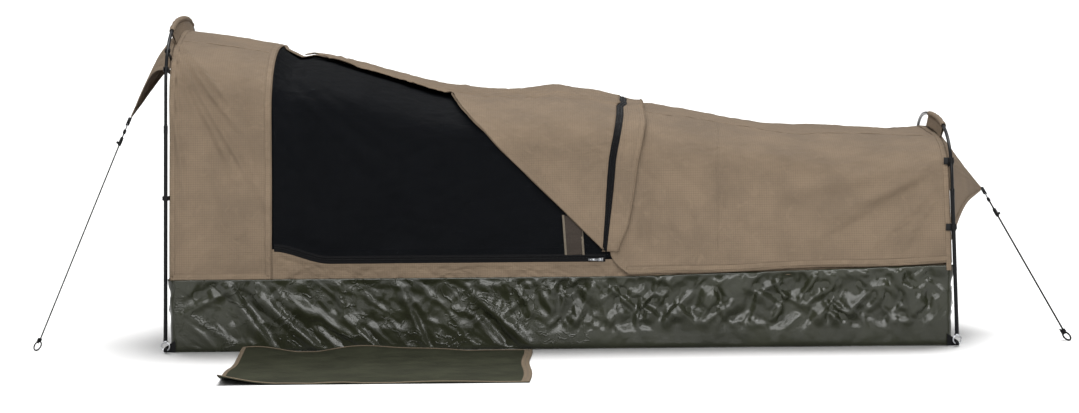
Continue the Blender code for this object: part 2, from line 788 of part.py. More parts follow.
class Hoop:
    """One bowed pole: its hinge line at the feet, its lean, and its pieces' common frame."""

    def __init__(self, name, side, crown, bend, bow, joint, lean):
        self.name = name
        self.side = side
        self.crown = crown
        self.bend = bend
        self.bow = bow
        self.joint = joint
        self.hinge = np.array([side * HINGE_X, 0.0, HINGE_HEIGHT])
        turn = -side * lean
        self.turn = np.array(Matrix.Rotation(turn, 3, "Y"))
        self.pivot = bpy.data.objects.new(name + "_hoop_hinge", None)
        self.pivot.location = self.hinge
        bpy.context.scene.collection.objects.link(self.pivot)

    def place(self, points):
        """Points of the upright hoop plane, heights from the ground, in their leaning place."""
        points = np.asarray(points, float) - [0, 0, HINGE_HEIGHT]
        return points @ self.turn.T + self.hinge

    def hold(self, piece):
        """Hang a piece, made in place, on the hoop's hinge."""
        piece.data.transform(Matrix.Translation(-Vector(self.hinge)))
        piece.parent = self.pivot
        return piece

    def line(self, reach, steps=CROWN_STEPS, low=None):
        """The pole's middle line over the crown, from near -reach to far reach, in place."""
        low = self.joint if low is None else low
        y, z = bow_path(self.bend, self.crown, self.bow, low, 0, steps)
        keep = np.abs(y) < reach + GAP
        if not keep.all():
            edge_z = np.interp(-reach, y, z)
            y = np.concatenate([[-reach], y[keep]])
            z = np.concatenate([[edge_z], z[keep]])
        y = np.concatenate([y, -y[-2::-1]])
        z = np.concatenate([z, z[-2::-1]])
        return self.place(np.stack([0 * y, y, z], axis=1))

    def spot_at(self, z, side):
        """Middle and direction of the pole at height z, on the straight step of it that passes there."""
        y, height = bow_path(self.bend, self.crown, self.bow, self.joint - PLUG_LENGTH, 0, CROWN_STEPS)
        if z < self.joint:
            y, height = np.array([-HINGE_Y, -HINGE_Y]), np.array([0.0, self.joint])
        k = int(np.clip(np.searchsorted(height, z) - 1, 0, len(height) - 2))
        share = (z - height[k]) / (height[k + 1] - height[k])
        low = np.array([0, -side * y[k], height[k]])
        high = np.array([0, -side * y[k + 1], height[k + 1]])
        ends = self.place([low, high])
        way = ends[1] - ends[0]
        return ends[0] + way * share, way / np.linalg.norm(way)


def make_poles(hoop):
    """Two straight legs and the bowed section between them, which plugs into both."""
    path = hoop.line(HINGE_Y, low=hoop.joint - PLUG_LENGTH)
    shoulder = np.array([hoop.joint, hoop.joint + GAP])
    leg = hoop.place([(0, -HINGE_Y, z) for z in (hoop.joint - PLUG_LENGTH, *shoulder)])
    far = leg.copy()
    far[:, 1] *= -1
    path = np.concatenate([leg, path[1:-1], far[::-1]])
    radii = np.full(len(path), CROWN_RADIUS)
    radii[:2] = PLUG_RADIUS
    radii[-2:] = PLUG_RADIUS
    across = hoop.turn @ np.array([1.0, 0, 0])
    crown = ring_mesh(tube_rings(path, radii, POLE_SIDES, across))
    hoop.hold(add(hoop.name + "_pole_crown", crown, (BLACK, 0.35, 0.0)))
    foot = HINGE_HEIGHT + EYE_RADIUS + EYE_WIRE + COLLAR_THICK + GAP
    for side, word in ((NEAR, "near"), (FAR, "far")):
        spots = [(0, side * HINGE_Y, z) for z in (foot, hoop.joint)]
        path = hoop.place(spots)
        outer = tube_rings(path, (LEG_RADIUS, LEG_RADIUS), POLE_SIDES, across)
        bore = tube_rings(path, (LEG_BORE, LEG_BORE), POLE_SIDES, across)
        mesh = ring_mesh([outer[0], outer[1], bore[1], bore[0]], closed=True)
        hoop.hold(add(f"{hoop.name}_pole_{word}_leg", mesh, (BLACK, 0.35, 0.0)))


def circle(radius, z, sides):
    turn = np.linspace(0, 2 * math.pi, sides, endpoint=False)
    return np.stack([radius * np.cos(turn), radius * np.sin(turn), 0 * turn + z], axis=1)


def make_pins(hoop):
    """A steel pin in each leg's end. The eye below its collar turns in a webbing loop."""
    top = EYE_RADIUS + EYE_WIRE
    seat = top + COLLAR_THICK
    stem = ring_mesh(
        [
            circle(SPIGOT_RADIUS, EYE_RADIUS, 10),
            circle(SPIGOT_RADIUS, top, 10),
            circle(COLLAR_RADIUS, top + GAP, 10),
            circle(COLLAR_RADIUS, seat, 10),
            circle(SPIGOT_RADIUS, seat + GAP, 10),
            circle(SPIGOT_RADIUS, seat + SPIGOT_LENGTH, 10),
        ]
    )
    wire = []
    for angle in np.linspace(0, 2 * math.pi, 14, endpoint=False):
        ring = circle(EYE_WIRE, 0, 6)
        out = EYE_RADIUS + ring[:, 0]
        wire.append(
            np.stack([out * math.cos(angle), ring[:, 1], out * math.sin(angle)], axis=1)
        )
    eye = outward(ring_mesh(wire, closed=True))
    pin = combined("pin", outward(stem), eye, "UNION")
    lean = Matrix(hoop.turn.tolist()).to_4x4()
    for side, word in ((NEAR, "near"), (FAR, "far")):
        mesh = pin.copy()
        spot = hoop.hinge + [0, side * HINGE_Y, 0]
        mesh.transform(Matrix.Translation(spot) @ lean)
        hoop.hold(add(f"{hoop.name}_{word}_pin", mesh, (STEEL, 0.3, 1.0)))
        make_tab(hoop, side, word)


def make_tab(hoop, side, word):
    """Webbing sewn flat on the tub's side, its end looped round the low side of the pin's eye."""
    wire_z = HINGE_HEIGHT - EYE_RADIUS + EYE_WIRE / 4
    face = HALF_WIDTH + GAP
    middle = hoop.side * HINGE_X
    outer = TAB_SLOT + TAB_CLOTH
    back = face + TAB_CLOTH / 2
    turn = np.linspace(-math.pi / 2, math.pi / 2, 7)

    def loop(radius, start, half):
        outline = [(HINGE_Y + radius * math.cos(a), wire_z + radius * math.sin(a)) for a in turn]
        outline += [(start, wire_z + radius), (start, wire_z - radius)]
        rings = [[(middle + s * half, side * a, b) for a, b in outline] for s in (-1, 1)]
        return outward(ring_mesh(rings))

    slot = loop(TAB_SLOT, back + GAP, TAB_WIDTH)
    bight = combined("tab", loop(outer, back, TAB_WIDTH / 2), slot, "DIFFERENCE")
    out_x = middle + hoop.side * (TAB_WIDTH / 2 + GAP)
    in_x = middle - hoop.side * TAB_REACH
    low = wire_z - outer - GAP
    plate = [(out_x, low), (out_x, wire_z + outer + GAP), (in_x, low + TAB_PATCH), (in_x, low)]
    sewn = [[(a, side * (face + TAB_CLOTH * s), b) for a, b in plate] for s in (0, 1)]
    mesh = combined("tab", outward(ring_mesh(sewn)), bight, "UNION")
    add(f"{hoop.name}_{word}_corner_tab", mesh, (BLACK, 0.9, 0.0))


def make_sleeve(hoop, half, end, into):
    """A canvas sleeve over the crown, its skirt running down to the roof's end edge."""
    path = hoop.line(half)
    ahead = tangents(path)
    bore = CROWN_RADIUS + GAP
    across = hoop.turn @ np.array([1.0, 0, 0])
    turn = np.radians(np.linspace(-90, 270, 9)[:-1])
    q = np.linspace(-1, 1, 801)
    section = canopy(np.full_like(q, end + into * LAYER), q)
    lift = canopy_normal(np.full_like(q, end + into * LAYER), q) * (CLOTH / 2 + SLEEVE_WALL)
    rim = section + lift
    outer, inner = [], []
    for point, forward in zip(path, ahead):
        up = np.cross(forward, across)
        up = up if up[2] > 0 else -up
        nearest = np.array([np.interp(point[1], rim[:, 1], rim[:, k]) for k in range(3)])
        nearest[1] = point[1]
        skirt = nearest - point
        down = np.array([into * abs(skirt[0]), 0, skirt[2]])
        along_skirt = down / np.linalg.norm(down)
        beside = np.cross(along_skirt, [0, 1.0, 0]) * into
        ring, hole = [], []
        for angle in turn:
            way = math.cos(angle) * across * into + math.sin(angle) * up
            ring.append(point + (bore + SLEEVE_WALL) * way)
            hole.append(point + bore * way)
        foot_in = point + down + beside * SLEEVE_WALL / 2
        foot_out = point + down - beside * SLEEVE_WALL / 2
        ring[0] = foot_out
        ring[1] = foot_in
        outer.append(ring)
        inner.append(hole)
    mesh = sleeve_mesh(outer, inner)
    hoop.hold(add(hoop.name + "_sleeve", mesh, TAN))


def sleeve_mesh(outer, inner):
    """A tube with a bore: outer rings, then the inner rings back again."""
    return ring_mesh([*outer, *inner[::-1]], closed=True)


def make_clip(hoop, name, z, side, end, proud):
    """A hook that snaps on the pole, on a short arm from the canvas edge, its face proud of its middle."""
    centre, forward = hoop.spot_at(z, side)
    q = np.linspace(0, 1, 2001) * side
    x = np.full_like(q, end)
    edge = canopy(x, q) + canopy_normal(x, q) * proud
    nearest = edge[np.argmin(np.linalg.norm(edge - centre, axis=1))]
    arm = nearest - centre
    arm -= forward * (arm @ forward)
    length = np.linalg.norm(arm)
    arm /= length
    beside = np.cross(forward, arm)
    bore = LEG_RADIUS + GAP if z < hoop.joint else CROWN_RADIUS + CLIP_PLAY
    outer = bore + CLIP_WALL
    start = math.asin(CLIP_ARM / 2 / outer)
    stop = math.pi - CLIP_MOUTH / 2
    shape = [(length - 2 * GAP, CLIP_ARM / 2)]
    shape += [(outer * math.cos(a), outer * math.sin(a)) for a in np.linspace(start, stop, 5)]
    shape += [(bore * math.cos(a), bore * math.sin(a)) for a in np.linspace(stop, -stop, 10)]
    shape += [(outer * math.cos(a), outer * math.sin(a)) for a in np.linspace(-stop, -start, 5)]
    shape += [(length - 2 * GAP, -CLIP_ARM / 2)]
    rings = []
    for half_length in (-CLIP_LENGTH / 2, CLIP_LENGTH / 2):
        ring = [centre + forward * half_length + arm * a + beside * b for a, b in shape]
        ring = np.array(ring)
        if z < hoop.bend + CLIP_CLEAR_RISE:
            ring[[0, -1], 1] = side * np.maximum(side * ring[[0, -1], 1], HALF_WIDTH + GAP)
        rings.append(ring)
    hoop.hold(add(name, ring_mesh(rings), (BLACK, 0.45, 0.0)))


def make_awning(hoop, corner, reach, tip_height, end, out, hollow):
    """A canvas hood over the vent, drawn out to a point by its guy line."""
    tip = np.array([end + out * reach, 0.0, tip_height])
    q0 = np.interp(corner, *heights_at_end(end))
    u, v = np.meshgrid(np.linspace(0, 1, 7), np.linspace(-1, 1, 15), indexing="ij")
    span = -q0 * (1 - hollow * np.sin(AWNING_HOLLOW_TURN * u))
    u = u * AWNING_TIP_SHARE
    edge = canopy(np.full_like(u, end), v * span)
    edge[..., 0] += out * GAP
    points = edge + (tip - edge) * u[..., None]
    du = np.gradient(points, axis=0)
    dv = np.gradient(points, axis=1)
    normal = np.cross(du, dv) * out
    normal /= np.linalg.norm(normal, axis=-1, keepdims=True)
    normal[0, :, 0] = 0
    normal /= np.linalg.norm(normal, axis=-1, keepdims=True)
    mesh = sheet_mesh(points + normal * CLOTH / 2, points - normal * CLOTH / 2)
    hoop.hold(add(hoop.name + "_awning", mesh, TAN))
    return points[-1, 7] + np.array([out * CLOTH, 0, 0])


def heights_at_end(end):
    """Heights and q of the near half of the end section, for finding q at a height."""
    q = np.linspace(-1, 0, 1001)
    return canopy(np.full_like(q, end), q)[:, 2], q


def bar_rings(start, way, across, half_width, half_thick, lengths, shares):
    """Flat bar along way: a ring of four corners at each length, its width scaled by the shares."""
    other = np.cross(way, across)
    rings = []
    for length, share in zip(lengths, shares):
        centre = start + way * length
        corners = ((-1, -1), (1, -1), (1, 1), (-1, 1))
        rings.append(
            [centre + across * half_width * share * a + other * half_thick * b for a, b in corners]
        )
    return rings


def round_rings(start, way, spots, sides):
    """Turned piece along way: a circle for each (length, radius)."""
    across = np.cross(way, [0, 1.0, 0])
    across /= np.linalg.norm(across)
    other = np.cross(way, across)
    turn = np.linspace(0, 2 * math.pi, sides, endpoint=False)
    return [
        start + way * length
        + radius * (np.cos(turn)[:, None] * across + np.sin(turn)[:, None] * other)
        for length, radius in spots
    ]


def make_guy(hoop, tip, ground, radius, adjuster_at):
    """Webbing at the awning's tip, an elastic, a toggle, and a taut rope with a line runner on it."""
    ground = ground + np.array([0, 0, radius + ROPE_OFF_GROUND])
    way = ground - tip
    way /= np.linalg.norm(way)
    across = np.cross(way, [0, 0, 1.0])
    across /= np.linalg.norm(across)
    name = hoop.name + "_guy_"
    begin = tip + way * TIP_ROOM
    web = bar_rings(
        begin, way, across, WEBBING_WIDTH / 2, WEBBING_CLOTH / 2,
        (0, WEBBING_LENGTH * WEBBING_SHARES[0], WEBBING_LENGTH), (1, 1, WEBBING_SHARES[1]),
    )
    hoop.hold(add(name + "webbing", ring_mesh(web), (BLACK, 0.9, 0.0), smooth=False))
    begin = begin + way * (WEBBING_LENGTH + GAP)
    elastic = round_rings(begin, way, [(0, ELASTIC_RADIUS), (ELASTIC_LENGTH, ELASTIC_RADIUS)], 8)
    hoop.hold(add(name + "elastic", ring_mesh(elastic), (ELASTIC_GREY, 0.7, 0.0)))
    begin = begin + way * (ELASTIC_LENGTH + GAP)
    spots = [
        (TOGGLE_LENGTH * share, TOGGLE_RADIUS * size)
        for share, size in TOGGLE_SHARES
    ]
    toggle = ring_mesh(round_rings(begin, way, spots, 10))
    hoop.hold(add(name + "toggle", toggle, (BLACK, 0.4, 0.0)))
    begin = begin + way * (TOGGLE_LENGTH + GAP)
    make_rope(hoop, name + "rope", begin, ground, way, across, radius)
    make_adjuster(hoop, name + "adjuster", begin + way * adjuster_at, way, across, radius)
    return way


def make_rope(hoop, name, begin, ground, way, across, radius):
    """A straight rope, its lower end turned back in a small loop that just meets the ground."""
    turn_start = ground - way * 2 * ROPE_LOOP
    run = [begin + (turn_start - begin) * share for share in np.linspace(0, 1, ROPE_POINTS)]
    centre = turn_start + way * ROPE_LOOP
    shut = math.asin((2 * radius + 2 * ROPE_CLEARANCE) / (ROPE_LOOP * ROPE_LOOP_SHARE))
    loop = []
    for angle in np.linspace(ROPE_LOOP_START, 2 * math.pi - shut, LOOP_POINTS):
        side = across * ROPE_LOOP * ROPE_LOOP_SHARE * math.sin(angle)
        loop.append(centre - way * ROPE_LOOP * math.cos(angle) + side)
    curve = bpy.data.curves.new(name, "CURVE")
    curve.dimensions = "3D"
    curve.bevel_depth = radius
    curve.bevel_resolution = 2
    curve.use_fill_caps = True
    points = [Vector(p - hoop.hinge) for p in (*run, *loop)]
    spline = curve.splines.new("POLY")
    spline.points.add(len(points) - 1)
    for spot, point in zip(spline.points, points):
        spot.co = (*point, 1.0)
    curve.materials.append(material(name, BLACK, 0.8))
    rope = bpy.data.objects.new(name, curve)
    bpy.context.scene.collection.objects.link(rope)
    rope.parent = hoop.pivot


def make_adjuster(hoop, name, start, way, across, radius):
    """A line runner: a short barrel that the rope runs through, with a knob at its lower side."""
    bore = radius + ROPE_CLEARANCE
    wall = bore + ADJUSTER_WALL
    spots = [(ADJUSTER_LENGTH * share, wall * size) for share, size in ADJUSTER_SHARES]
    outer = round_rings(start, way, spots, 10)
    hole = round_rings(start, way, [(ADJUSTER_LENGTH, bore), (0, bore)], 10)
    barrel = outward(ring_mesh([*outer, *hole], closed=True))
    seat = start + way * ADJUSTER_LENGTH * ADJUSTER_KNOB_SHARE
    side = np.array([hoop.side, 0, 0]) - way * (way[0] * hoop.side)
    side /= np.linalg.norm(side)
    neck = ADJUSTER_KNOB * ADJUSTER_NECK_SHARE
    knob_spots = [
        (bore + ADJUSTER_WALL / 2, neck),
        (wall + GAP, neck),
        (wall + 2 * GAP, ADJUSTER_KNOB),
        (ADJUSTER_KNOB_OUT, ADJUSTER_KNOB),
    ]
    knob = outward(ring_mesh(round_rings(seat, side, knob_spots, 8)))
    piece = add(name, combined("adjuster", barrel, knob, "UNION"), (BLACK, 0.4, 0.0))
    hoop.hold(piece)


def box_mesh(low, high):
    low, high = np.minimum(low, high), np.maximum(low, high)
    rings = [
        [(x, y, z) for x, y in ((low[0], low[1]), (high[0], low[1]), (high[0], high[1]), (low[0], high[1]))]
        for z in (low[2], high[2])
    ]
    return outward(ring_mesh(rings))


def make_slider(name, x, z, y, out):
    """A zip slider on the zip's outer face, with a bridge over it. Returns y of the pull's hinge line."""
    top = y + out * SLIDER_THICK
    long, wide = SLIDER_LENGTH / 2, SLIDER_WIDTH / 2
    body = box_mesh((x - long, y, z - wide), (x + long, top, z + wide))
    sunk = top - out * BRIDGE_THICK
    half = BRIDGE_WIDTH / 2
    crest = top + out * (BRIDGE_ROOM + BRIDGE_THICK)
    arch = box_mesh((x - BRIDGE_HALF, sunk, z - half), (x + BRIDGE_HALF, crest, z + half))
    inner = BRIDGE_HALF - BRIDGE_THICK
    under = box_mesh(
        (x - inner, sunk - out * OVERRUN, z - SLIDER_WIDTH),
        (x + inner, top + out * BRIDGE_ROOM, z + SLIDER_WIDTH),
    )
    arch = combined(name, arch, under, "DIFFERENCE")
    add(name, combined(name, body, outward(arch), "UNION"), (STEEL, 0.3, 1.0), smooth=False)
    return top + out * BRIDGE_ROOM / 2


def make_pull(x, y, z):
    """The pull, a flat bar lying towards the head. The end bar of its long eye lies under the bridge."""
    half = PULL_THICK / 2
    side = PULL_WIDTH / 2
    bar = box_mesh((x - PULL_LENGTH, y - half, z - side), (x + half, y + half, z + side))
    room = BRIDGE_WIDTH / 2 + PULL_SIDE_ROOM
    eye = box_mesh((x - PULL_EYE, y - OVERRUN, z - room), (x - half, y + OVERRUN, z + room))
    mesh = combined("pull", bar, eye, "DIFFERENCE")
    pivot = bpy.data.objects.new("door_pull_hinge", None)
    pivot.location = (x, y, z)
    bpy.context.scene.collection.objects.link(pivot)
    piece = add("door_slider_pull", mesh, (STEEL, 0.3, 1.0), smooth=False)
    piece.data.transform(Matrix.Translation((-x, -y, -z)))
    piece.parent = pivot


def make_sliders():
    wall = -HALF_WIDTH
    door_x = DOOR_CORNER - SLIDER_FROM_CORNER
    face = wall - LAYER - GAP
    pull_y = make_slider("door_slider", door_x, BAND_TOP, face, -1)
    make_pull(door_x, pull_y, BAND_TOP)
    net_x = DOOR_CORNER - MESH_SLIDER_FROM_CORNER
    inner = wall + CLOTH + LAYER + GAP
    make_slider("mesh_slider", net_x, BAND_TOP + ZIP_TAPE / 2, inner, 1)


def make_mat():
    """A ground mat lying along the tub, one outer corner curled up."""
    u, v = np.meshgrid(np.linspace(0, 1, 14), np.linspace(0, 1, 10), indexing="ij")
    x = HEAD_END + MAT_FROM_HEAD + MAT_LENGTH * u
    y = -HALF_WIDTH - MAT_OFF_TUB - MAT_DEPTH * v
    x = x - MAT_SPLAY * v * (1 - u)
    away = np.hypot(u * MAT_LENGTH, (1 - v) * MAT_DEPTH)
    lift = np.clip(1 - away / MAT_CURL_LENGTH, 0, 1) ** MAT_CURL_SHARE * MAT_CURL_HEIGHT
    low = np.stack([x, y, lift], axis=-1)
    high = low + [0, 0, MAT_THICK]
    add("entry_mat", sheet_mesh(high, low), (PVC, 0.6, 0.0))


def make_hoops():
    head = Hoop("head", -1, HEAD_CROWN, HEAD_BEND, HEAD_BOW_SHARE, HEAD_BEND - HEAD_JOINT_DROP, HEAD_LEAN)
    foot = Hoop("foot", 1, FOOT_CROWN, FOOT_BEND, FOOT_BOW_SHARE, FOOT_BEND - FOOT_JOINT_DROP, FOOT_LEAN)
    head_clips = (HEAD_CROWN - HEAD_UPPER_CLIP_DROP, TUB_HEIGHT + HEAD_LOWER_CLIP_RISE)
    foot_clips = (FOOT_CROWN - FOOT_UPPER_CLIP_DROP, TUB_HEIGHT + FOOT_LOWER_CLIP_RISE)
    for hoop in (head, foot):
        make_poles(hoop)
        make_pins(hoop)
    make_sleeve(head, HEAD_SLEEVE_HALF, HEAD_END, 1)
    make_sleeve(foot, FOOT_SLEEVE_HALF, FOOT_END, -1)
    for hoop, clips, end in ((head, head_clips, HEAD_END), (foot, foot_clips, FOOT_END)):
        for z, level in zip(clips, ("upper", "lower")):
            for side, word in ((NEAR, "near"), (FAR, "far")):
                proud = CLOTH / 2 + (LAYER if hoop is foot and side == NEAR else 0)
                make_clip(hoop, f"{hoop.name}_{level}_{word}_clip", z, side, end, proud)
    corner = HEAD_RIDGE - HEAD_AWNING_CORNER_DROP
    tip_height = HEAD_RIDGE - HEAD_AWNING_TIP_DROP
    tip = make_awning(head, corner, HEAD_AWNING_REACH, tip_height, HEAD_END, -1, HEAD_AWNING_HOLLOW_SHARE)
    ground = np.array([HEAD_END - HEAD_GUY_OUT, -HEAD_GUY_SIDE, 0.0])
    make_guy(head, tip, ground, HEAD_ROPE_RADIUS, HEAD_ADJUSTER_AT)
    corner = FOOT_RIDGE - FOOT_AWNING_CORNER_DROP
    tip_height = FOOT_RIDGE - FOOT_AWNING_TIP_DROP
    tip = make_awning(foot, corner, FOOT_AWNING_REACH, tip_height, FOOT_END, 1, FOOT_AWNING_HOLLOW_SHARE)
    ground = np.array([FOOT_END + FOOT_GUY_OUT, -FOOT_GUY_SIDE, 0.0])
    make_guy(foot, tip, ground, FOOT_ROPE_RADIUS, FOOT_ADJUSTER_AT)


def main():
    for item in list(bpy.data.objects):
        bpy.data.objects.remove(item)
    make_tub()
    make_mattress()
    make_canopy()
    make_flap()
    make_door_fittings()
    make_end_walls()
    make_hoops()
    make_sliders()
    make_mat()


main()
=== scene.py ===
# %% [markdown]
# # A canvas swag in cloth, vinyl and steel
#
# A swag is a bedroll with a small tent of its own: a vinyl tub, a foam mattress, a canvas canopy, and two bowed
# poles that stand on pins at the tub's corners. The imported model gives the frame: its bodies, joints and plain
# solids. This lesson dresses that frame. Each piece is a surface worked out with numpy and then given to Blender,
# because a formula can be read, changed and run again with the same result.

# %% Load the frame
import math

import bpy
import numpy as np
from mathutils import Matrix


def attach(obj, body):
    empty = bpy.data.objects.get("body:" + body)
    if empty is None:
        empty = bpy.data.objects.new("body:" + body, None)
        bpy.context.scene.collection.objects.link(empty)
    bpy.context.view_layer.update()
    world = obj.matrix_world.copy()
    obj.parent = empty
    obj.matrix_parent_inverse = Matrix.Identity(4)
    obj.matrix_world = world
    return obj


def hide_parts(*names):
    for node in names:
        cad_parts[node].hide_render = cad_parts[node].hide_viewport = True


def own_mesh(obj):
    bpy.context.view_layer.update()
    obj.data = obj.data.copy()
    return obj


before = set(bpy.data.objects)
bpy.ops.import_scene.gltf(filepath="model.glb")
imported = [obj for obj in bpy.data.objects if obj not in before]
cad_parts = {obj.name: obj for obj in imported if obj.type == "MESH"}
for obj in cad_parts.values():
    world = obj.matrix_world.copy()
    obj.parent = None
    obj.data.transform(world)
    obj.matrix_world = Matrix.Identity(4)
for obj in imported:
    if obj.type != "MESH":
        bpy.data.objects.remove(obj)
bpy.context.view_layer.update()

# %% [markdown]
# ## The camera
#
# The photograph was taken from about ten metres with a long lens, a little above the swag, so lengths along the
# near side keep their proportions. The camera looks slightly down and is rolled by half a degree.

# %% Camera
IMAGE_WIDTH = 1079
FOCAL_PIXELS = 3699.0
CAMERA_AT = (-0.056, -10.45, 1.150)
LOOK_DOWN = math.radians(4.345)
ROLL = math.radians(0.51)
SENSOR = 36.0

camera_data = bpy.data.cameras.new("camera")
camera_data.sensor_width = SENSOR
camera_data.lens = SENSOR * FOCAL_PIXELS / IMAGE_WIDTH
camera_data.clip_end = 100.0
camera = bpy.data.objects.new("camera", camera_data)
bpy.context.scene.collection.objects.link(camera)
tilt = Matrix.Rotation(math.pi / 2 - LOOK_DOWN, 4, "X")
camera.matrix_world = Matrix.Translation(CAMERA_AT) @ tilt @ Matrix.Rotation(-ROLL, 4, "Z")
bpy.context.scene.camera = camera
print("lens", round(camera_data.lens, 1), "mm")

# %% [markdown]
# ## Floor and light
#
# The swag stands on a white studio sweep that fades into a white background. A soft sun from above and behind and the
# sky light the whole floor evenly, so it burns out to white as far as the camera sees, and only the strip in front of
# the tub is left in soft shade. Large boxes over the camera model the cloth, and two small lamps make the vinyl's
# creases sparkle. The boxes are linked to the swag alone, as a studio flags them off the sweep.

# %% Floor, world and lamps
FLOOR_HALF, FLOOR_WHITE, FLOOR_DROP = 80.0, 0.90, 0.0005
WORLD_STOPS = ((0.0, 0.09), (0.20, 0.13), (0.50, 0.38), (0.85, 0.66))


def floor_material():
    made = bpy.data.materials.new("floor_paint")
    made.use_nodes = True
    shader = made.node_tree.nodes["Principled BSDF"]
    shader.inputs["Base Color"].default_value = (FLOOR_WHITE, FLOOR_WHITE, FLOOR_WHITE, 1)
    shader.inputs["Roughness"].default_value = 0.9
    shader.inputs["Specular IOR Level"].default_value = 0.2
    return made


floor_mesh = bpy.data.meshes.new("floor")
corners = [(x * FLOOR_HALF, y * FLOOR_HALF, 0) for x, y in ((-1, -1), (1, -1), (1, 1), (-1, 1))]
floor_mesh.from_pydata(corners, [], [(0, 1, 2, 3)])
floor_mesh.materials.append(floor_material())
floor = bpy.data.objects.new("floor", floor_mesh)
floor.location.z = -FLOOR_DROP
bpy.context.scene.collection.objects.link(floor)


def studio_world():
    """Light from above, dim near the ground and below, so that glossy creases have something to show."""
    made = bpy.data.worlds.new("studio")
    made.use_nodes = True
    tree = made.node_tree
    where = tree.nodes.new("ShaderNodeTexCoord")
    parts = tree.nodes.new("ShaderNodeSeparateXYZ")
    tree.links.new(where.outputs["Generated"], parts.inputs[0])
    ramp = tree.nodes.new("ShaderNodeValToRGB")
    tree.links.new(parts.outputs["Z"], ramp.inputs["Fac"])
    stops = ramp.color_ramp.elements
    for stop, (place, level) in zip(stops, (WORLD_STOPS[0], WORLD_STOPS[-1])):
        stop.position, stop.color = place, (level, level, level, 1)
    for place, level in WORLD_STOPS[1:-1]:
        stops.new(place).color = (level, level, level, 1)
    tree.links.new(ramp.outputs["Color"], tree.nodes["Background"].inputs["Color"])
    tree.nodes["Background"].inputs["Strength"].default_value = 1.0
    return made


bpy.context.scene.world = studio_world()
bpy.context.scene.view_settings.view_transform = "Standard"
bpy.context.scene.view_settings.look = "None"


def light(name, kind, energy, direction, place=(0, 0, 0)):
    """A lamp at place whose beam runs along a direction."""
    data = bpy.data.lights.new(name, kind)
    data.energy = energy
    item = bpy.data.objects.new(name, data)
    bpy.context.scene.collection.objects.link(item)
    item.location = place
    flat = math.hypot(direction[0], direction[1])
    item.rotation_euler = (math.atan2(flat, -direction[2]), 0, math.atan2(-direction[0], direction[1]))
    return item


def sun(name, direction, strength, softness):
    """A sun from far away: even over the whole floor, with shadows softened by its angle in degrees."""
    item = light(name, "SUN", strength, direction)
    item.data.angle = math.radians(softness)
    return item


def soft_box(name, place, aim, width, height, power):
    """A flat lamp of width by height metres at place, turned to face the point aim."""
    item = light(name, "AREA", power, np.subtract(aim, place), place)
    item.data.shape, item.data.size, item.data.size_y = "RECTANGLE", width, height
    item.visible_camera = False
    return item


def light_group(name, state):
    """A group for light linking that names only the floor: as the one thing lit, or as the one thing left out."""
    group = bpy.data.collections.new(name)
    group.objects.link(floor)
    group.collection_objects[0].light_linking.link_state = state
    return group


sun("top", (-0.05, -0.38, -1.0), 2.3, 42)
sweep = sun("sweep", (-0.03, -0.34, -1.0), 1.5, 26)
sweep.light_linking.receiver_collection = light_group("floor_only", "INCLUDE")
for_swag = light_group("all_but_floor", "EXCLUDE")
for name, place, aim, width, height, power in (
    ("key_box", (-1.6, -3.6, 4.4), (0, 0, 0.3), 3.4, 2.2, 108),
    ("front_box", (0.6, -5.2, 2.7), (0.1, 0, 0.1), 4.4, 1.5, 118),
    ("low_box", (0.3, -5.0, 1.45), (0.1, 0, 0.1), 4.4, 1.0, 82),
    ("spark_left", (-2.4, -4.6, 3.4), (-0.4, 0, 0.1), 0.4, 0.4, 24),
    ("spark_right", (2.6, -4.6, 3.0), (0.4, 0, 0.1), 0.4, 0.4, 24),
):
    soft_box(name, place, aim, width, height, power).light_linking.receiver_collection = for_swag

# %% [markdown]
# ## The swag's measures
#
# Everything below hangs on these lengths, in metres. They are the same ones as the plain model was drawn from, so
# the cloth lands where the solids are. +X runs from the head end to the foot end, and the door is on the -Y side.

# %% Measures
TUB_LENGTH, TUB_WIDTH, TUB_HEIGHT = 2.126, 0.900, 0.198
HEAD_CROWN, FOOT_CROWN = 0.8955, 0.6065
HEAD_RIDGE, FOOT_RIDGE = HEAD_CROWN - 0.0375, FOOT_CROWN - 0.0375
HEAD_TURN, FOOT_TURN = HEAD_RIDGE - 0.158, FOOT_RIDGE - 0.129
HEAD_ROUND, FOOT_ROUND = 2.5, 2.8
MIDDLE_TURN_DROP = 0.060
WALL_DRAW_IN = 0.014
ROOF_ARC = 0.87
SEAM_SIDE = 0.53
RIDGE_X = (0.000, 0.127, 0.218, 0.360, 0.502, 0.597, 0.715, 0.810, 1.000)
RIDGE_DROP = (1.000, 0.834, 0.678, 0.436, 0.356, 0.263, 0.149, 0.073, 0.000)
HEAD_LEAN, FOOT_LEAN = math.radians(1.0), math.radians(1.8)
HEAD_END, FOOT_END, HALF_WIDTH = -TUB_LENGTH / 2, TUB_LENGTH / 2, TUB_WIDTH / 2
POLE_OUT = 0.012
HINGE_X, HINGE_Y, HINGE_Z = FOOT_END + POLE_OUT, HALF_WIDTH + POLE_OUT, 0.0185
CLOTH = 0.002
LAYER = CLOTH + 0.0009
PANEL_EDGE = HEAD_END + 0.279
DOOR_CORNER, DOOR_CORNER_HEIGHT = HEAD_END + 1.185, TUB_HEIGHT + 0.069
FOLD_TOP = HEAD_END + 0.767
BAND_TOP, BAND_RISE, BAND_RISE_RUN = TUB_HEIGHT + 0.047, 0.035, 0.160


# %% [markdown]
# ## The canopy as a function
#
# The canopy is one skin stretched over two hoops. At any distance x along the swag its section is a pair of upright
# walls with a rounded roof. I write it as a function of x and q, where q is -1 at the near rim, 0 on the ridge and 1
# at the far rim. Every cloth panel then is a window cut in that one function, so neighbours meet along their seams.

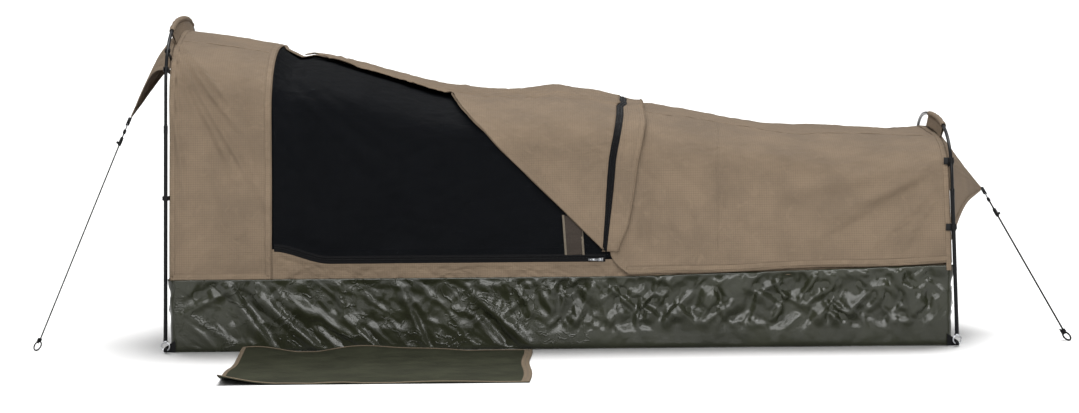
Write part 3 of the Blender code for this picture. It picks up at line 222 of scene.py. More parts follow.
# %% The canopy's surface
def smooth_step(value):
    """0 below 0, 1 above 1, and 3v^2 - 2v^3 between."""
    value = np.clip(value, 0.0, 1.0)
    return value * value * (3 - 2 * value)


def mix(low, high, share):
    return low + (high - low) * share


def round_turn(count):
    """Angles spaced evenly once round."""
    return np.linspace(0, 2 * math.pi, count, endpoint=False)


def along(x):
    """Share of the way from the head end to the foot end."""
    return (x - HEAD_END) / TUB_LENGTH


def ridge_height(x):
    """A smooth cubic through the listed shares of the drop from the head ridge to the foot ridge."""
    spots, drops = np.array(RIDGE_X), np.array(RIDGE_DROP)
    share = np.clip(along(x), 0.0, 1.0)
    slope = np.gradient(drops, spots)
    k = np.clip(np.searchsorted(spots, share, side="right") - 1, 0, len(spots) - 2)
    width = spots[k + 1] - spots[k]
    t = (share - spots[k]) / width
    drop = (2 * t**3 - 3 * t**2 + 1) * drops[k] + (t**3 - 2 * t**2 + t) * width * slope[k]
    drop = drop + (3 * t**2 - 2 * t**3) * drops[k + 1] + (t**3 - t**2) * width * slope[k + 1]
    return FOOT_RIDGE + (HEAD_RIDGE - FOOT_RIDGE) * drop


def turn_height(x):
    """Height where the wall turns over: a straight line between the ends, less a parabola's sag."""
    share = along(x)
    return mix(HEAD_TURN, FOOT_TURN, share) - MIDDLE_TURN_DROP * 4 * share * (1 - share)


def half_lengths(x):
    """Length of the upright wall, and of the roof from there to the ridge."""
    return turn_height(x) - TUB_HEIGHT, ROOF_ARC * (HALF_WIDTH + ridge_height(x) - turn_height(x))


def roundness(x):
    return mix(HEAD_ROUND, FOOT_ROUND, along(x))


def canopy(x, q):
    """Upright wall up to the turn, then a quarter of a rounded rectangle |y|^n + z^n = 1 up to the ridge."""
    x, q = np.broadcast_arrays(np.asarray(x, float), np.asarray(q, float))
    rise = 1 - np.abs(q)
    wall, roof = half_lengths(x)
    leg = wall / (wall + roof)
    turn, ridge, power = turn_height(x), ridge_height(x), 2 / roundness(x)
    angle = np.clip((rise - leg) / (1 - leg), 0.0, 1.0) * math.pi / 2
    low = rise <= leg
    side = np.where(low, 1.0, np.cos(angle).clip(0) ** power)
    rounded = turn + (ridge - turn) * np.sin(angle) ** power
    height = np.where(low, TUB_HEIGHT + (turn - TUB_HEIGHT) * rise / leg, rounded)
    middle = np.sin(math.pi * np.clip(along(x), 0.0, 1.0)) ** 2
    above = np.clip((height - DOOR_CORNER_HEIGHT) / (ridge - DOOR_CORNER_HEIGHT), 0.0, 1.0)
    drawn = WALL_DRAW_IN * middle * np.sin(math.pi * above) ** 2
    y = np.sign(q) * side * (HALF_WIDTH - CLOTH / 2 - drawn)
    lean = math.tan(HEAD_LEAN) * (1 - along(x)) - math.tan(FOOT_LEAN) * along(x)
    return np.stack([x + (height - TUB_HEIGHT) * lean, y, height], axis=-1)


def canopy_normal(x, q):
    """Outward direction: the cross product of small steps along x and along q."""
    step = 1e-3
    across = np.cross(canopy(x + step, q) - canopy(x - step, q), canopy(x, q + step) - canopy(x, q - step))
    return across / np.linalg.norm(across, axis=-1, keepdims=True)


def seam(x):
    """q of the seam between wall and roof, where the section has a set share of its half width."""
    wall, roof = half_lengths(x)
    leg = wall / (wall + roof)
    return leg + (1 - leg) * np.arccos(SEAM_SIDE ** (roundness(x) / 2)) / (math.pi / 2) - 1


def q_of(x, w):
    """q from w, which counts 0 at the near rim, 1 at the near seam, 2 on the ridge, 3 at the far seam, 4 at the rim."""
    edge = seam(x)
    return np.select([w <= 1, w <= 3], [(1 + edge) * w - 1, edge * (2 - w)], (1 + edge) * (w - 3) - edge)


def at_height(x, z):
    """w on the near upright wall at height z."""
    wall, roof = half_lengths(x)
    return (z - TUB_HEIGHT) / (wall + roof) / (1 + seam(x))


def band_top(x):
    """Lower edge of the door opening, which sweeps up to the head panel."""
    return BAND_TOP + BAND_RISE * smooth_step((PANEL_EDGE + BAND_RISE_RUN - x) / BAND_RISE_RUN)


def fold_line(w):
    """x of the door's folded edge. Seen from the side it is a straight slant from the slider up to the seam."""
    top = canopy(FOLD_TOP, q_of(FOLD_TOP, 1.0))[..., 2]
    w = np.clip(w, 0, 1)
    x = mix(DOOR_CORNER, FOLD_TOP, w)
    for _ in range(4):
        height = canopy(x, q_of(x, w))[..., 2]
        x = mix(DOOR_CORNER, FOLD_TOP, np.clip((height - DOOR_CORNER_HEIGHT) / (top - DOOR_CORNER_HEIGHT), 0, 1))
    return x


print("ridge", np.round(ridge_height(np.array([HEAD_END, 0.0, FOOT_END])), 3))

# %% [markdown]
# ## Folds and creases
#
# Cloth is never quite flat. Two kinds of relief cover most of it. Slow swells come from how it hangs, and I add
# a few dozen sine waves of random direction for those. Sharp creases come from tension and from packing, and there
# the sine is folded with an absolute value so that it has a keen ridge. The random numbers are seeded, so the same
# swag comes out every time.

# %% Relief functions
def waves(a, b, wavelength, seed, count=14, stretch=1.0, lean=0.0):
    """Mean of sines with wavelengths near the given one, in directions round the compass. About -1 to 1."""
    rng = np.random.default_rng(seed)
    heading = rng.uniform(0, math.pi, count)
    size = 2 * math.pi / (wavelength * rng.uniform(0.7, 1.5, count))
    phase = rng.uniform(0, 2 * math.pi, count)
    turned_a = a * math.cos(lean) + b * math.sin(lean)
    turned_b = (b * math.cos(lean) - a * math.sin(lean)) / stretch
    total = 0
    for h, s, p in zip(heading, size, phase):
        total = total + np.sin(s * (math.cos(h) * turned_a + math.sin(h) * turned_b) + p)
    return total / math.sqrt(count) / 1.2


def crumple(a, b, wavelength, seed, count, stretch=1.0, lean=0.0, keen=1.5):
    """Sharp creases: 1 minus the size of a wavy field is a ridge wherever the field crosses 0."""
    total = 0
    for k in range(count):
        field = waves(a, b, wavelength * (0.75 + 0.5 * k / count), seed + 31 * k, 6, stretch, lean)
        total = total + np.clip(1 - 2.2 * np.abs(field), 0, 1) ** keen * (1 if k % 2 else -1)
    return total / math.sqrt(count)


def fan(a, b, corner, first, last, count, seed, reach, width):
    """Tension creases that spread from a corner: keen ridges at listed angles, fading with distance."""
    rng = np.random.default_rng(seed)
    da, db = a - corner[0], b - corner[1]
    away = np.hypot(da, db) + 1e-6
    angle = np.arctan2(db, da)
    total = 0
    for k in range(count):
        at = mix(first, last, (k + rng.uniform(0.2, 0.8)) / count)
        far = reach * rng.uniform(0.5, 1.0)
        line = np.exp(-(((angle - at) / (width / (1 + away / reach))) ** 2))
        total = total + line * rng.uniform(0.5, 1) * smooth_step(away / 0.06) * smooth_step(2 * (1 - away / far))
    return total


# %% [markdown]
# ## From points to a mesh
#
# A sheet is a grid of points. To be a real piece of cloth it needs two faces and a rim, so the shell takes an outer
# and an inner grid and closes them. Each face also carries the cloth's own flat coordinates in metres as a UV map, so
# that the weave follows the cloth and keeps its scale.

# %% Mesh helpers
def mesh_from(name, points, quads, uv=None):
    """A mesh from an array of points and an array of quads, with smooth faces and, if given, a UV for each point."""
    points = np.ascontiguousarray(points, np.float32)
    quads = np.ascontiguousarray(quads, np.int32)
    mesh = bpy.data.meshes.new(name)
    mesh.vertices.add(len(points))
    mesh.vertices.foreach_set("co", points.ravel())
    mesh.loops.add(quads.size)
    mesh.loops.foreach_set("vertex_index", quads.ravel())
    mesh.polygons.add(len(quads))
    mesh.polygons.foreach_set("loop_start", np.arange(0, quads.size, quads.shape[1], dtype=np.int32))
    mesh.update(calc_edges=True)
    if uv is not None:
        layer = mesh.uv_layers.new(name="cut")
        layer.data.foreach_set("uv", np.ascontiguousarray(uv, np.float32)[quads.ravel()].ravel())
    mesh.shade_smooth()
    return mesh


def grid_quads(rows, columns, wrap_rows=False, wrap_columns=False):
    """Index quads of a grid, one for each cell, wrapped round where asked."""
    i, j = np.meshgrid(
        np.arange(rows if wrap_rows else rows - 1), np.arange(columns if wrap_columns else columns - 1), indexing="ij"
    )
    down, on = (i + 1) % rows, (j + 1) % columns
    quads = np.stack([i * columns + j, i * columns + on, down * columns + on, down * columns + j], axis=-1)
    return quads.reshape(-1, 4)


def rim_of(rows, columns):
    """Indices round the edge of a grid, in order."""
    top = np.arange(columns)
    right = np.arange(1, rows) * columns + columns - 1
    bottom = (rows - 1) * columns + np.arange(columns - 2, -1, -1)
    left = np.arange(rows - 2, 0, -1) * columns
    return np.concatenate([top, right, bottom, left])


def shell(name, outer, inner, uv):
    """Closed cloth between two grids: the outer face, the inner face turned over, and a rim."""
    rows, columns = outer.shape[:2]
    half = rows * columns
    face = grid_quads(rows, columns)
    rim = rim_of(rows, columns)
    after = np.roll(rim, -1)
    edge = np.stack([rim, half + rim, half + after, after], axis=-1)
    points = np.concatenate([outer.reshape(-1, 3), inner.reshape(-1, 3)])
    flat = np.tile(np.asarray(uv, float).reshape(-1, 2), (2, 1))
    mesh = mesh_from(name, points, np.concatenate([face, half + face[:, ::-1], edge]), flat)
    return facing_out(mesh)


def ring_mesh(name, rings, uv, wrap_rows=False):
    """A mesh over rings of points, each one closed. The last ring meets the first if the rows wrap too."""
    quads = grid_quads(len(rings), rings.shape[1], wrap_rows=wrap_rows, wrap_columns=True)
    return facing_out(mesh_from(name, rings.reshape(-1, 3), quads, uv.reshape(-1, 2)))


def facing_out(mesh):
    """Turn every face over if the closed mesh has a negative volume."""
    points = np.empty(len(mesh.vertices) * 3, np.float32)
    mesh.vertices.foreach_get("co", points)
    points = points.reshape(-1, 3).astype(float)
    mesh.calc_loop_triangles()
    corners = np.empty(len(mesh.loop_triangles) * 3, np.int32)
    mesh.loop_triangles.foreach_get("vertices", corners)
    a, b, c = points[corners.reshape(-1, 3)].transpose(1, 0, 2)
    if (a * np.cross(b, c)).sum() < 0:
        mesh.flip_normals()
    return mesh


def finished(name, mesh, finish, body, nodes=()):
    """A finished piece: its mesh, material, the body it rides on and the plain solids that it stands for."""
    piece = bpy.data.objects.new(name, mesh)
    bpy.context.scene.collection.objects.link(piece)
    mesh.materials.clear()
    mesh.materials.append(finish)
    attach(piece, body)
    if nodes:
        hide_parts(*nodes)
    return piece


def settle(piece):
    """Give the piece a mesh of its own."""
    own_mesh(piece)
    return piece

# %% [markdown]
# ## Materials
#
# The canopy is a ripstop canvas: a plain weave with a thicker thread every few millimetres both ways, which stops
# a tear from running. Its look comes from that grid, a slightly mottled dye and a faint sheen off the fibres. The
# tub is vinyl on a woven scrim, so it is glossy, dark and full of small hard creases. The fly net is a black knit
# with real holes. All of them are built from noise and line patterns in metres on the cloth's own flat coordinates.

# %% Material recipes
class Finish:
    """A material's node tree, with short calls for the nodes that cloth, vinyl and metal need."""

    def __init__(self, name, flat=True):
        self.made = bpy.data.materials.new(name)
        self.made.use_nodes = True
        self.tree = self.made.node_tree
        self.shader = self.tree.nodes["Principled BSDF"]
        if flat:
            where = self.node("ShaderNodeUVMap", uv_map="cut").outputs["UV"]
        else:
            where = self.node("ShaderNodeTexCoord").outputs["Object"]
        self.where = where
        parts = self.node("ShaderNodeSeparateXYZ")
        self.feed(parts.inputs[0], where)
        self.u, self.v, self.w = parts.outputs

    def node(self, kind, **values):
        made = self.tree.nodes.new(kind)
        for key, value in values.items():
            setattr(made, key, value)
        return made

    def feed(self, socket, value):
        """Give a socket another node's output, or a plain number or colour."""
        if isinstance(value, bpy.types.NodeSocket):
            self.tree.links.new(value, socket)
        elif isinstance(value, tuple) and len(value) == 3 and socket.type == "RGBA":
            socket.default_value = (*value, 1)
        else:
            socket.default_value = value

    def put(self, **values):
        """Set the shader's inputs by the short names in SOCKETS."""
        for key, value in values.items():
            self.feed(self.shader.inputs[SOCKETS[key]], value)
        return self

    def math(self, operation, a, b=0.0):
        made = self.node("ShaderNodeMath", operation=operation)
        self.feed(made.inputs[0], a)
        self.feed(made.inputs[1], b)
        return made.outputs[0]

    def total(self, *pairs):
        """Sum of (height, weight) pairs."""
        made = 0.0
        for height, weight in pairs:
            made = self.math("ADD", self.math("MULTIPLY", height, weight), made)
        return made

    def pattern(self, kind, size, stretch=(1, 1, 1), **values):
        """A texture node with details about size metres across, stretched by the three factors."""
        spread = self.node("ShaderNodeMapping")
        self.feed(spread.inputs["Vector"], self.where)
        spread.inputs["Scale"].default_value = [1 / (size * s) for s in stretch]
        made = self.node(kind, **values)
        self.feed(made.inputs["Vector"], spread.outputs[0])
        made.inputs["Scale"].default_value = 1.0
        return made

    def noise(self, size, detail=2.0, rough=0.5, stretch=(1, 1, 1), twist=0.0):
        made = self.pattern("ShaderNodeTexNoise", size, stretch)
        made.inputs["Detail"].default_value = detail
        made.inputs["Roughness"].default_value = rough
        made.inputs["Distortion"].default_value = twist
        return made.outputs[0]

    def cells(self, size):
        """Distance to the edges of random cells: 0 on the edges."""
        return self.pattern("ShaderNodeTexVoronoi", size, feature="DISTANCE_TO_EDGE").outputs[0]

    def sine(self, value, period):
        return self.math("SINE", self.math("MULTIPLY", value, 2 * math.pi / period))

    def lines(self, value, period, half_width):
        """1 on lines of the given half width at every period, 0 between, with soft edges."""
        near = self.math("PINGPONG", self.math("MULTIPLY", value, 1 / period), 0.5)
        return self.remap(near, 0.6 * half_width / period, 1.4 * half_width / period, 1.0, 0.0)

    def grid(self, period, half_width):
        """Lines both ways."""
        return self.math("MAXIMUM", self.lines(self.u, period, half_width), self.lines(self.v, period, half_width))

    def ridge(self, value, width):
        """1 where a noise passes through its middle value and 0 farther than width from it: thin wandering lines."""
        return self.remap(self.math("ABSOLUTE", self.math("SUBTRACT", value, 0.5)), 0.0, width, 1.0, 0.0)

    def remap(self, value, low, high, new_low=0.0, new_high=1.0):
        """Carry a value from low..high to new_low..new_high, eased at both ends."""
        made = self.node("ShaderNodeMapRange", interpolation_type="SMOOTHSTEP")
        self.feed(made.inputs["Value"], value)
        for key, number in (("From Min", low), ("From Max", high), ("To Min", new_low), ("To Max", new_high)):
            made.inputs[key].default_value = number
        return made.outputs[0]

    def colour(self, share, low, high):
        """Blend of two colours by a share."""
        made = self.node("ShaderNodeMix", data_type="RGBA")
        self.feed(made.inputs[0], share)
        self.feed(made.inputs[6], low)
        self.feed(made.inputs[7], high)
        return made.outputs[2]

    def bump(self, height, depth):
        """Relief: height 0 to 1 stands for depth metres."""
        made = self.node("ShaderNodeBump")
        made.inputs["Strength"].default_value = 1.0
        made.inputs["Distance"].default_value = depth
        self.feed(made.inputs["Height"], height)
        self.feed(self.shader.inputs["Normal"], made.outputs[0])
        return self


SOCKETS = {
    "base": "Base Color", "rough": "Roughness", "metal": "Metallic", "shine": "Specular IOR Level",
    "sheen": "Sheen Weight", "sheen_rough": "Sheen Roughness", "sheen_tint": "Sheen Tint", "alpha": "Alpha",
}


def shade(colour, factor):
    return tuple(channel * factor for channel in colour)


TAN = (0.166, 0.123, 0.084)
OLIVE_VINYL = (0.0175, 0.0190, 0.0105)
BLACK_NET = (0.0030, 0.0034, 0.0042)
BLACK = (0.0055, 0.0055, 0.0060)
RIPSTOP_PITCH, WEAVE_PITCH, SCRIM_PITCH = 0.0062, 0.0011, 0.0016
NET_PITCH, NICKED_LENGTH, NICKS_FADE = 0.0014, 1.25, 0.3


def canvas(name, colour=TAN):
    """Ripstop canvas: weave, thicker threads in a grid, mottled colour, painted highlight on the crumple's ridges and a
    faint sheen.
    """
    cloth = Finish(name)
    ripstop = cloth.grid(RIPSTOP_PITCH, 0.0005)
    weave = cloth.math("MULTIPLY", cloth.sine(cloth.u, WEAVE_PITCH), cloth.sine(cloth.v, WEAVE_PITCH))
    slub = cloth.noise(0.020, 3, stretch=(0.06, 1.6, 1))
    mottle = cloth.noise(0.16, 4, 0.6)
    crumple = cloth.noise(0.030, 4, 0.55, twist=0.8)
    dye_and_highlight = cloth.colour(cloth.remap(mottle, 0.3, 0.7), shade(colour, 0.81), shade(colour, 1.10))
    dye_and_highlight = cloth.colour(cloth.math("MULTIPLY", ripstop, 0.70), dye_and_highlight, shade(colour, 0.68))
    dye_and_highlight = cloth.colour(cloth.remap(slub, 0.5, 0.8, 0, 0.30), dye_and_highlight, shade(colour, 1.16))
    # Lighter where the crumple stands up: painted highlight on its ridges.
    dye_and_highlight = cloth.colour(cloth.remap(crumple, 0.54, 0.78, 0, 0.38), dye_and_highlight, shade(colour, 1.25))
    cloth.put(base=dye_and_highlight, rough=cloth.remap(mottle, 0.2, 0.8, 0.74, 0.90), shine=0.22)
    cloth.put(sheen=0.06, sheen_rough=0.45, sheen_tint=shade(colour, 2.4))
    relief = cloth.total((ripstop, 0.12), (weave, 0.030), (crumple, 1.0), (slub, 0.12))
    return cloth.bump(relief, 0.0026).made


def vinyl(name, colour):
    """Vinyl on scrim: dark and glossy, dusty in patches, with small creases and, near the head, nicks."""
    skin = Finish(name)
    scrim = skin.grid(SCRIM_PITCH, 0.0004)
    broad = skin.noise(0.14, 4, 0.6)
    crush = skin.noise(0.022, 5, 0.62, twist=1.6)
    facets = skin.remap(skin.cells(0.026), 0.0, 0.35)
    dust = skin.noise(0.05, 5, 0.7)
    nicks = skin.ridge(skin.noise(0.050, 3, 0.5, twist=0.8), 0.05)
    nicks = skin.math("MULTIPLY", nicks, skin.remap(skin.noise(0.09, 3), 0.46, 0.58))
    nicks = skin.math("MULTIPLY", nicks, skin.remap(skin.u, NICKED_LENGTH - NICKS_FADE, NICKED_LENGTH, 1.0, 0.0))
    base = skin.colour(skin.remap(broad, 0.3, 0.7), shade(colour, 0.85), shade(colour, 1.2))
    base = skin.colour(skin.remap(dust, 0.58, 0.85, 0, 0.25), base, (0.050, 0.050, 0.036))
    skin.put(base=base, rough=skin.remap(dust, 0.3, 0.8, 0.13, 0.25), shine=0.43)
    relief = skin.total((crush, 0.14), (facets, 0.05), (scrim, 0.02), (nicks, 0.42))
    return skin.bump(relief, 0.0030).made


def net(name, thread):
    """Knitted fly net: black threads both ways with open holes between. The threads take up a share of the pitch."""
    knit = Finish(name)
    threads = knit.grid(NET_PITCH, thread * NET_PITCH / 2)
    dust = knit.noise(0.09, 3)
    knit.put(base=knit.colour(dust, BLACK_NET, shade(BLACK_NET, 1.5)), rough=0.60, shine=0.03)
    knit.put(alpha=knit.remap(threads, 0.0, 1.0, 0.42, 1.0))
    return knit.bump(threads, 0.0003).made


def webbing(name, colour=BLACK, flat=False):
    """Flat woven strap: fine slanted ribs."""
    strap = Finish(name, flat)
    ribs = strap.sine(strap.math("ADD", strap.u, strap.v if flat else strap.w), 0.0016)
    fuzz = strap.noise(0.004, 3)
    strap.put(base=strap.colour(fuzz, shade(colour, 0.8), shade(colour, 2.0)), rough=0.85, shine=0.12)
    strap.put(sheen=0.03, sheen_rough=0.4)
    return strap.bump(strap.total((ribs, 0.5), (fuzz, 0.6)), 0.0004).made


def thread(name, colour):
    """Sewing thread: twisted and slightly glossy."""
    made = Finish(name, flat=False)
    twist = made.sine(made.math("ADD", made.u, made.w), 0.0007)
    made.put(base=made.colour(made.noise(0.01), shade(colour, 0.8), shade(colour, 1.2)), rough=0.55, shine=0.4)
    return made.bump(twist, 0.0001).made


def coated(name, colour, rough, metal=0.0):
    """Painted or plated metal and moulded plastic: fine orange peel, rubbed lighter in patches."""
    made = Finish(name, flat=False)
    wear = made.noise(0.02, 5, 0.65)
    peel = made.noise(0.0015, 2)
    base = made.colour(made.remap(wear, 0.55, 0.8, 0, 0.5), colour, shade(colour, 1.9))
    made.put(base=base, rough=made.remap(wear, 0.3, 0.8, rough, min(1.0, rough + 0.16)), metal=metal)
    made.put(shine=0.5 if metal else 0.16)
    return made.bump(peel, 0.00006).made


def braid(name, colour, pitch=0.004):
    """Braided cord: two sets of strands that cross, on the tube's own length and turn coordinates."""
    cord = Finish(name)
    left = cord.sine(cord.math("ADD", cord.u, cord.v), pitch)
    right = cord.sine(cord.math("SUBTRACT", cord.u, cord.v), pitch)
    strands = cord.math("MULTIPLY", left, right)
    # Darker in the hollows between strands and lighter on their crossings: painted shade and painted highlight.
    cord.put(base=cord.colour(cord.remap(strands, -0.5, 0.8), shade(colour, 0.5), shade(colour, 1.5)), rough=0.8)
    cord.put(shine=0.12, sheen=0.03, sheen_rough=0.4)
    return cord.bump(strands, 0.0006).made


canvas_tan = canvas("canvas_tan")
# A copy of the canvas a little lighter: painted highlight on the raised hems, strips, bindings and sleeves.
canvas_hem_lit = canvas("canvas_hem_lit", shade(TAN, 1.05))
# A copy a little lighter for the folded door's upturned face: painted highlight from the light above.
canvas_inner_lit = canvas("canvas_inner_lit", shade(TAN, 1.02))
tub_vinyl = vinyl("tub_vinyl", OLIVE_VINYL)
fly_net = net("fly_net", 0.52)
vent_net = net("vent_net", 0.5)
black_webbing = webbing("black_webbing")
# The canopy's thread is a little darker than the canvas: painted shade for the seams' dark puckered lines.
tan_thread = thread("tan_thread", (0.150, 0.112, 0.077))
dark_thread = thread("dark_thread", (0.05, 0.05, 0.045))
pole_black = coated("pole_black", (0.0030, 0.0032, 0.0040), 0.26)
plastic_black = coated("plastic_black", (0.004, 0.004, 0.0045), 0.42)
steel = coated("steel", (0.50, 0.51, 0.53), 0.26, metal=1.0)
zinc = coated("zinc", (0.42, 0.43, 0.45), 0.34, metal=1.0)
rope_black = braid("rope_black", (0.0060, 0.0060, 0.0065))
elastic_grey = braid("elastic_grey", (0.22, 0.23, 0.24), 0.0022)
print("materials:", len(bpy.data.materials))

# %% [markdown]
# ## Guy lines
#
# Each awning is drawn out by a guy: a webbing tab sewn to its point, a short elastic that gives in the wind, a
# toggle, and a braided rope that runs straight to the ground and ends in a small knotted loop for a peg. A runner
# with a knob slides on the rope to tighten it. A taut rope is a straight tube, and its braid is cut into its surface
# as shallow crossing spirals, so it catches the light as a real cord does.

# %% Tubes, turned pieces and the ropes
GAP = 0.0003
HEAD_TIP_DROP, HEAD_REACH, FOOT_TIP_DROP, FOOT_REACH = 0.244, 0.149, 0.172, 0.134
TIP_SHARE, TIP_ROOM, OFF_GROUND = 0.975, 0.0020, 0.0001
WEB_LENGTH, WEB_WIDTH, WEB_THICK, ELASTIC_LENGTH, ELASTIC_RADIUS = 0.026, 0.012, 0.0026, 0.014, 0.0018
TOGGLE_LENGTH = 0.014
TOGGLE_PROFILE = ((0, 0.0006), (0, 0.0034), (0.004, 0.0045), (0.010, 0.0045), (0.014, 0.0032), (0.014, 0.0006))
RUNNER_LENGTH, RUNNER_WALL, RUNNER_KNOB_OUT = 0.026, 0.0022, 0.0105
LOOP, LOOP_FLAT, LOOP_START, ROPE_ROOM = 0.014, 0.8, math.radians(25), 0.0006
KNOT_TURNS, KNOT_LENGTH, PATH_STEP, PATH_KEPT = 3.2, 6.5, 0.0015, 8
BEAD_SIDES, BOX_POWER = 5, 0.4


def unit(vector):
    vector = np.asarray(vector, float)
    return vector / np.linalg.norm(vector, axis=-1, keepdims=True)


def measured(path):
    """Distance along a path up to each of its points."""
    return np.concatenate([[0], np.cumsum(np.linalg.norm(np.diff(path, axis=0), axis=1))])


def read_at(spots, run, values):
    """Rows of values at the distances spots, from the rows known at the distances run."""
    return np.stack([np.interp(spots, run, values[:, k]) for k in range(3)], axis=1)


def resampled(path, step):
    """The same path with points at an even step."""
    run = measured(path)
    return read_at(np.linspace(0, run[-1], max(2, int(run[-1] / step) + 1)), run, path)


def tube(name, path, radius, sides, up, relief=None, closed=False):
    """A round tube along a path, with domed ends. The ring at each point stands square to the path.

    relief(length, angle) scales the radius. UV is (length, angle times radius), in metres.
    """
    path = np.asarray(path, float)
    if closed:
        ahead = unit(np.roll(path, -1, axis=0) - np.roll(path, 1, axis=0))
    else:
        ahead = unit(np.gradient(path, axis=0))
    up = np.broadcast_to(np.asarray(up, float), path.shape)
    up = unit(up - ahead * (up * ahead).sum(axis=1, keepdims=True))
    side = np.cross(ahead, up)
    run = measured(path)
    angle = round_turn(sides)
    width = np.broadcast_to(np.asarray(radius, float), len(path))[:, None] * np.ones(sides)
    if relief is not None:
        width = width * relief(run[:, None], angle[None, :])
    around = np.cos(angle)[None, :, None] * up[:, None] + np.sin(angle)[None, :, None] * side[:, None]
    rings = path[:, None] + width[..., None] * around
    uv = np.stack(np.broadcast_arrays(run[:, None], angle[None, :] * width.mean()), axis=-1)
    if closed:
        return ring_mesh(name, rings, uv, wrap_rows=True)
    caps = []
    for end, sign in ((0, -1), (-1, 1)):
        for share in (0.55, 0.05):
            push = sign * ahead[end] * width[end].mean() * math.sqrt(1 - share**2) * 0.6
            caps.append(path[end] + push + share * width[end][:, None] * around[end])
    rings = np.concatenate([[caps[1], caps[0]], rings, [caps[2], caps[3]]])
    return ring_mesh(name, rings, np.concatenate([uv[:1], uv[:1], uv, uv[-1:], uv[-1:]]))


def turned(name, start, way, profile):
    """A turned piece: a profile of (length, radius) spots swept round an axis."""
    spots = np.asarray(profile, float)
    way = unit(way)
    helper = (0, 1, 0) if abs(way[1]) < 0.9 else (1, 0, 0)
    across = unit(np.cross(way, helper))
    other = np.cross(way, across)
    angle = round_turn(24)
    around = np.cos(angle)[:, None] * across + np.sin(angle)[:, None] * other
    rings = start + spots[:, 0, None, None] * way + spots[:, 1, None, None] * around
    return ring_mesh(name, rings, np.stack(np.broadcast_arrays(spots[:, :1], angle[None] * 0.004), axis=-1))


def rounded_profile(spots, fillet):
    """Each inner corner of a (length, radius) profile becomes a short three-point curve."""
    spots = np.asarray(spots, float)
    made = [spots[0]]
    for before, here, after in zip(spots[:-2], spots[1:-1], spots[2:]):
        back, on = before - here, after - here
        reach = min(fillet, 0.45 * np.linalg.norm(back), 0.45 * np.linalg.norm(on))
        first, last = here + unit(back) * reach, here + unit(on) * reach
        made += [first, 0.25 * first + 0.5 * here + 0.25 * last, last]
    return np.array([*made, spots[-1]])


def joined(name, meshes):
    """Several meshes as one, with their UVs."""
    points, quads, uv, start = [], [], [], 0
    for mesh in meshes:
        count, loops = len(mesh.vertices), len(mesh.loops)
        spots = np.empty(count * 3, np.float32)
        mesh.vertices.foreach_get("co", spots)
        corner = np.empty(loops, np.int32)
        mesh.loops.foreach_get("vertex_index", corner)
        flat = np.zeros(loops * 2, np.float32)
        if mesh.uv_layers:
            mesh.uv_layers[0].data.foreach_get("uv", flat)
        points.append(spots.reshape(-1, 3))
        quads.append(corner.reshape(-1, 4) + start)
        uv.append(flat)
        start += count
        bpy.data.meshes.remove(mesh)
    made = mesh_from(name, np.concatenate(points), np.concatenate(quads))
    layer = made.uv_layers.new(name="cut")
    layer.data.foreach_set("uv", np.concatenate(uv))
    return made


def solid_box(name, centre, along_way, across, sizes, dish):
    """A bar with a superellipse section swept along one way, and a shallow dish in both of its ends."""
    along_way, across = unit(along_way), unit(across)
    other = np.cross(along_way, across)
    turn = round_turn(24)
    wide = np.sign(np.cos(turn)) * np.abs(np.cos(turn)) ** BOX_POWER * sizes[1] / 2
    tall = np.sign(np.sin(turn)) * np.abs(np.sin(turn)) ** BOX_POWER * sizes[2] / 2
    inset = dish * min(sizes) * (1 - np.sin(np.linspace(0, math.pi / 2, 4)))
    length = np.concatenate([inset[:1], inset]) - sizes[0] / 2
    shrink = np.concatenate([[min(sizes[1:]) / 2], inset])
    length, shrink = np.concatenate([length, -length[::-1]]), np.concatenate([shrink, shrink[::-1]])
    wide = np.maximum(0.02, 1 - 2 * shrink / sizes[1])[:, None] * wide
    tall = np.maximum(0.02, 1 - 2 * shrink / sizes[2])[:, None] * tall
    rings = centre + along_way * length[:, None, None] + wide[..., None] * across + tall[..., None] * other
    return ring_mesh(name, rings, np.stack(np.broadcast_arrays(length[:, None], turn[None] * sizes[1] / 6), axis=-1))


def bead_row(name, path, out, spots, profile, sizes, lengthwise):
    """Beads at the distances spots along a path, half sunk in the surface under it.

    Each is a (length, width) profile swept round, scaled by its length, width and height, and lies along the path
    or across it.
    """
    run = measured(path)
    centre, up = read_at(spots, run, path), unit(read_at(spots, run, out))
    ahead = unit(np.gradient(centre, axis=0))
    across = unit(np.cross(up, ahead))
    turn, profile = round_turn(BEAD_SIDES), np.array(profile)
    long = np.repeat(profile[:, :1] * sizes[0], BEAD_SIDES, axis=1)
    wide = profile[:, 1:] * sizes[1] / 2 * np.cos(turn)
    tall = profile[:, 1:] * sizes[2] / 2 * np.sin(turn)
    bead = np.stack([long, wide, tall], axis=-1).reshape(-1, 3)
    axes = np.stack([ahead, across, up] if lengthwise else [across, ahead, up], axis=1)
    points = (centre[:, None] + bead[None] @ axes).reshape(-1, 3)
    quads = grid_quads(len(profile), BEAD_SIDES, wrap_columns=True)
    quads = (np.arange(len(spots))[:, None, None] * len(bead) + quads[None]).reshape(-1, 4)
    return facing_out(mesh_from(name, points, quads, np.zeros((len(points), 2))))


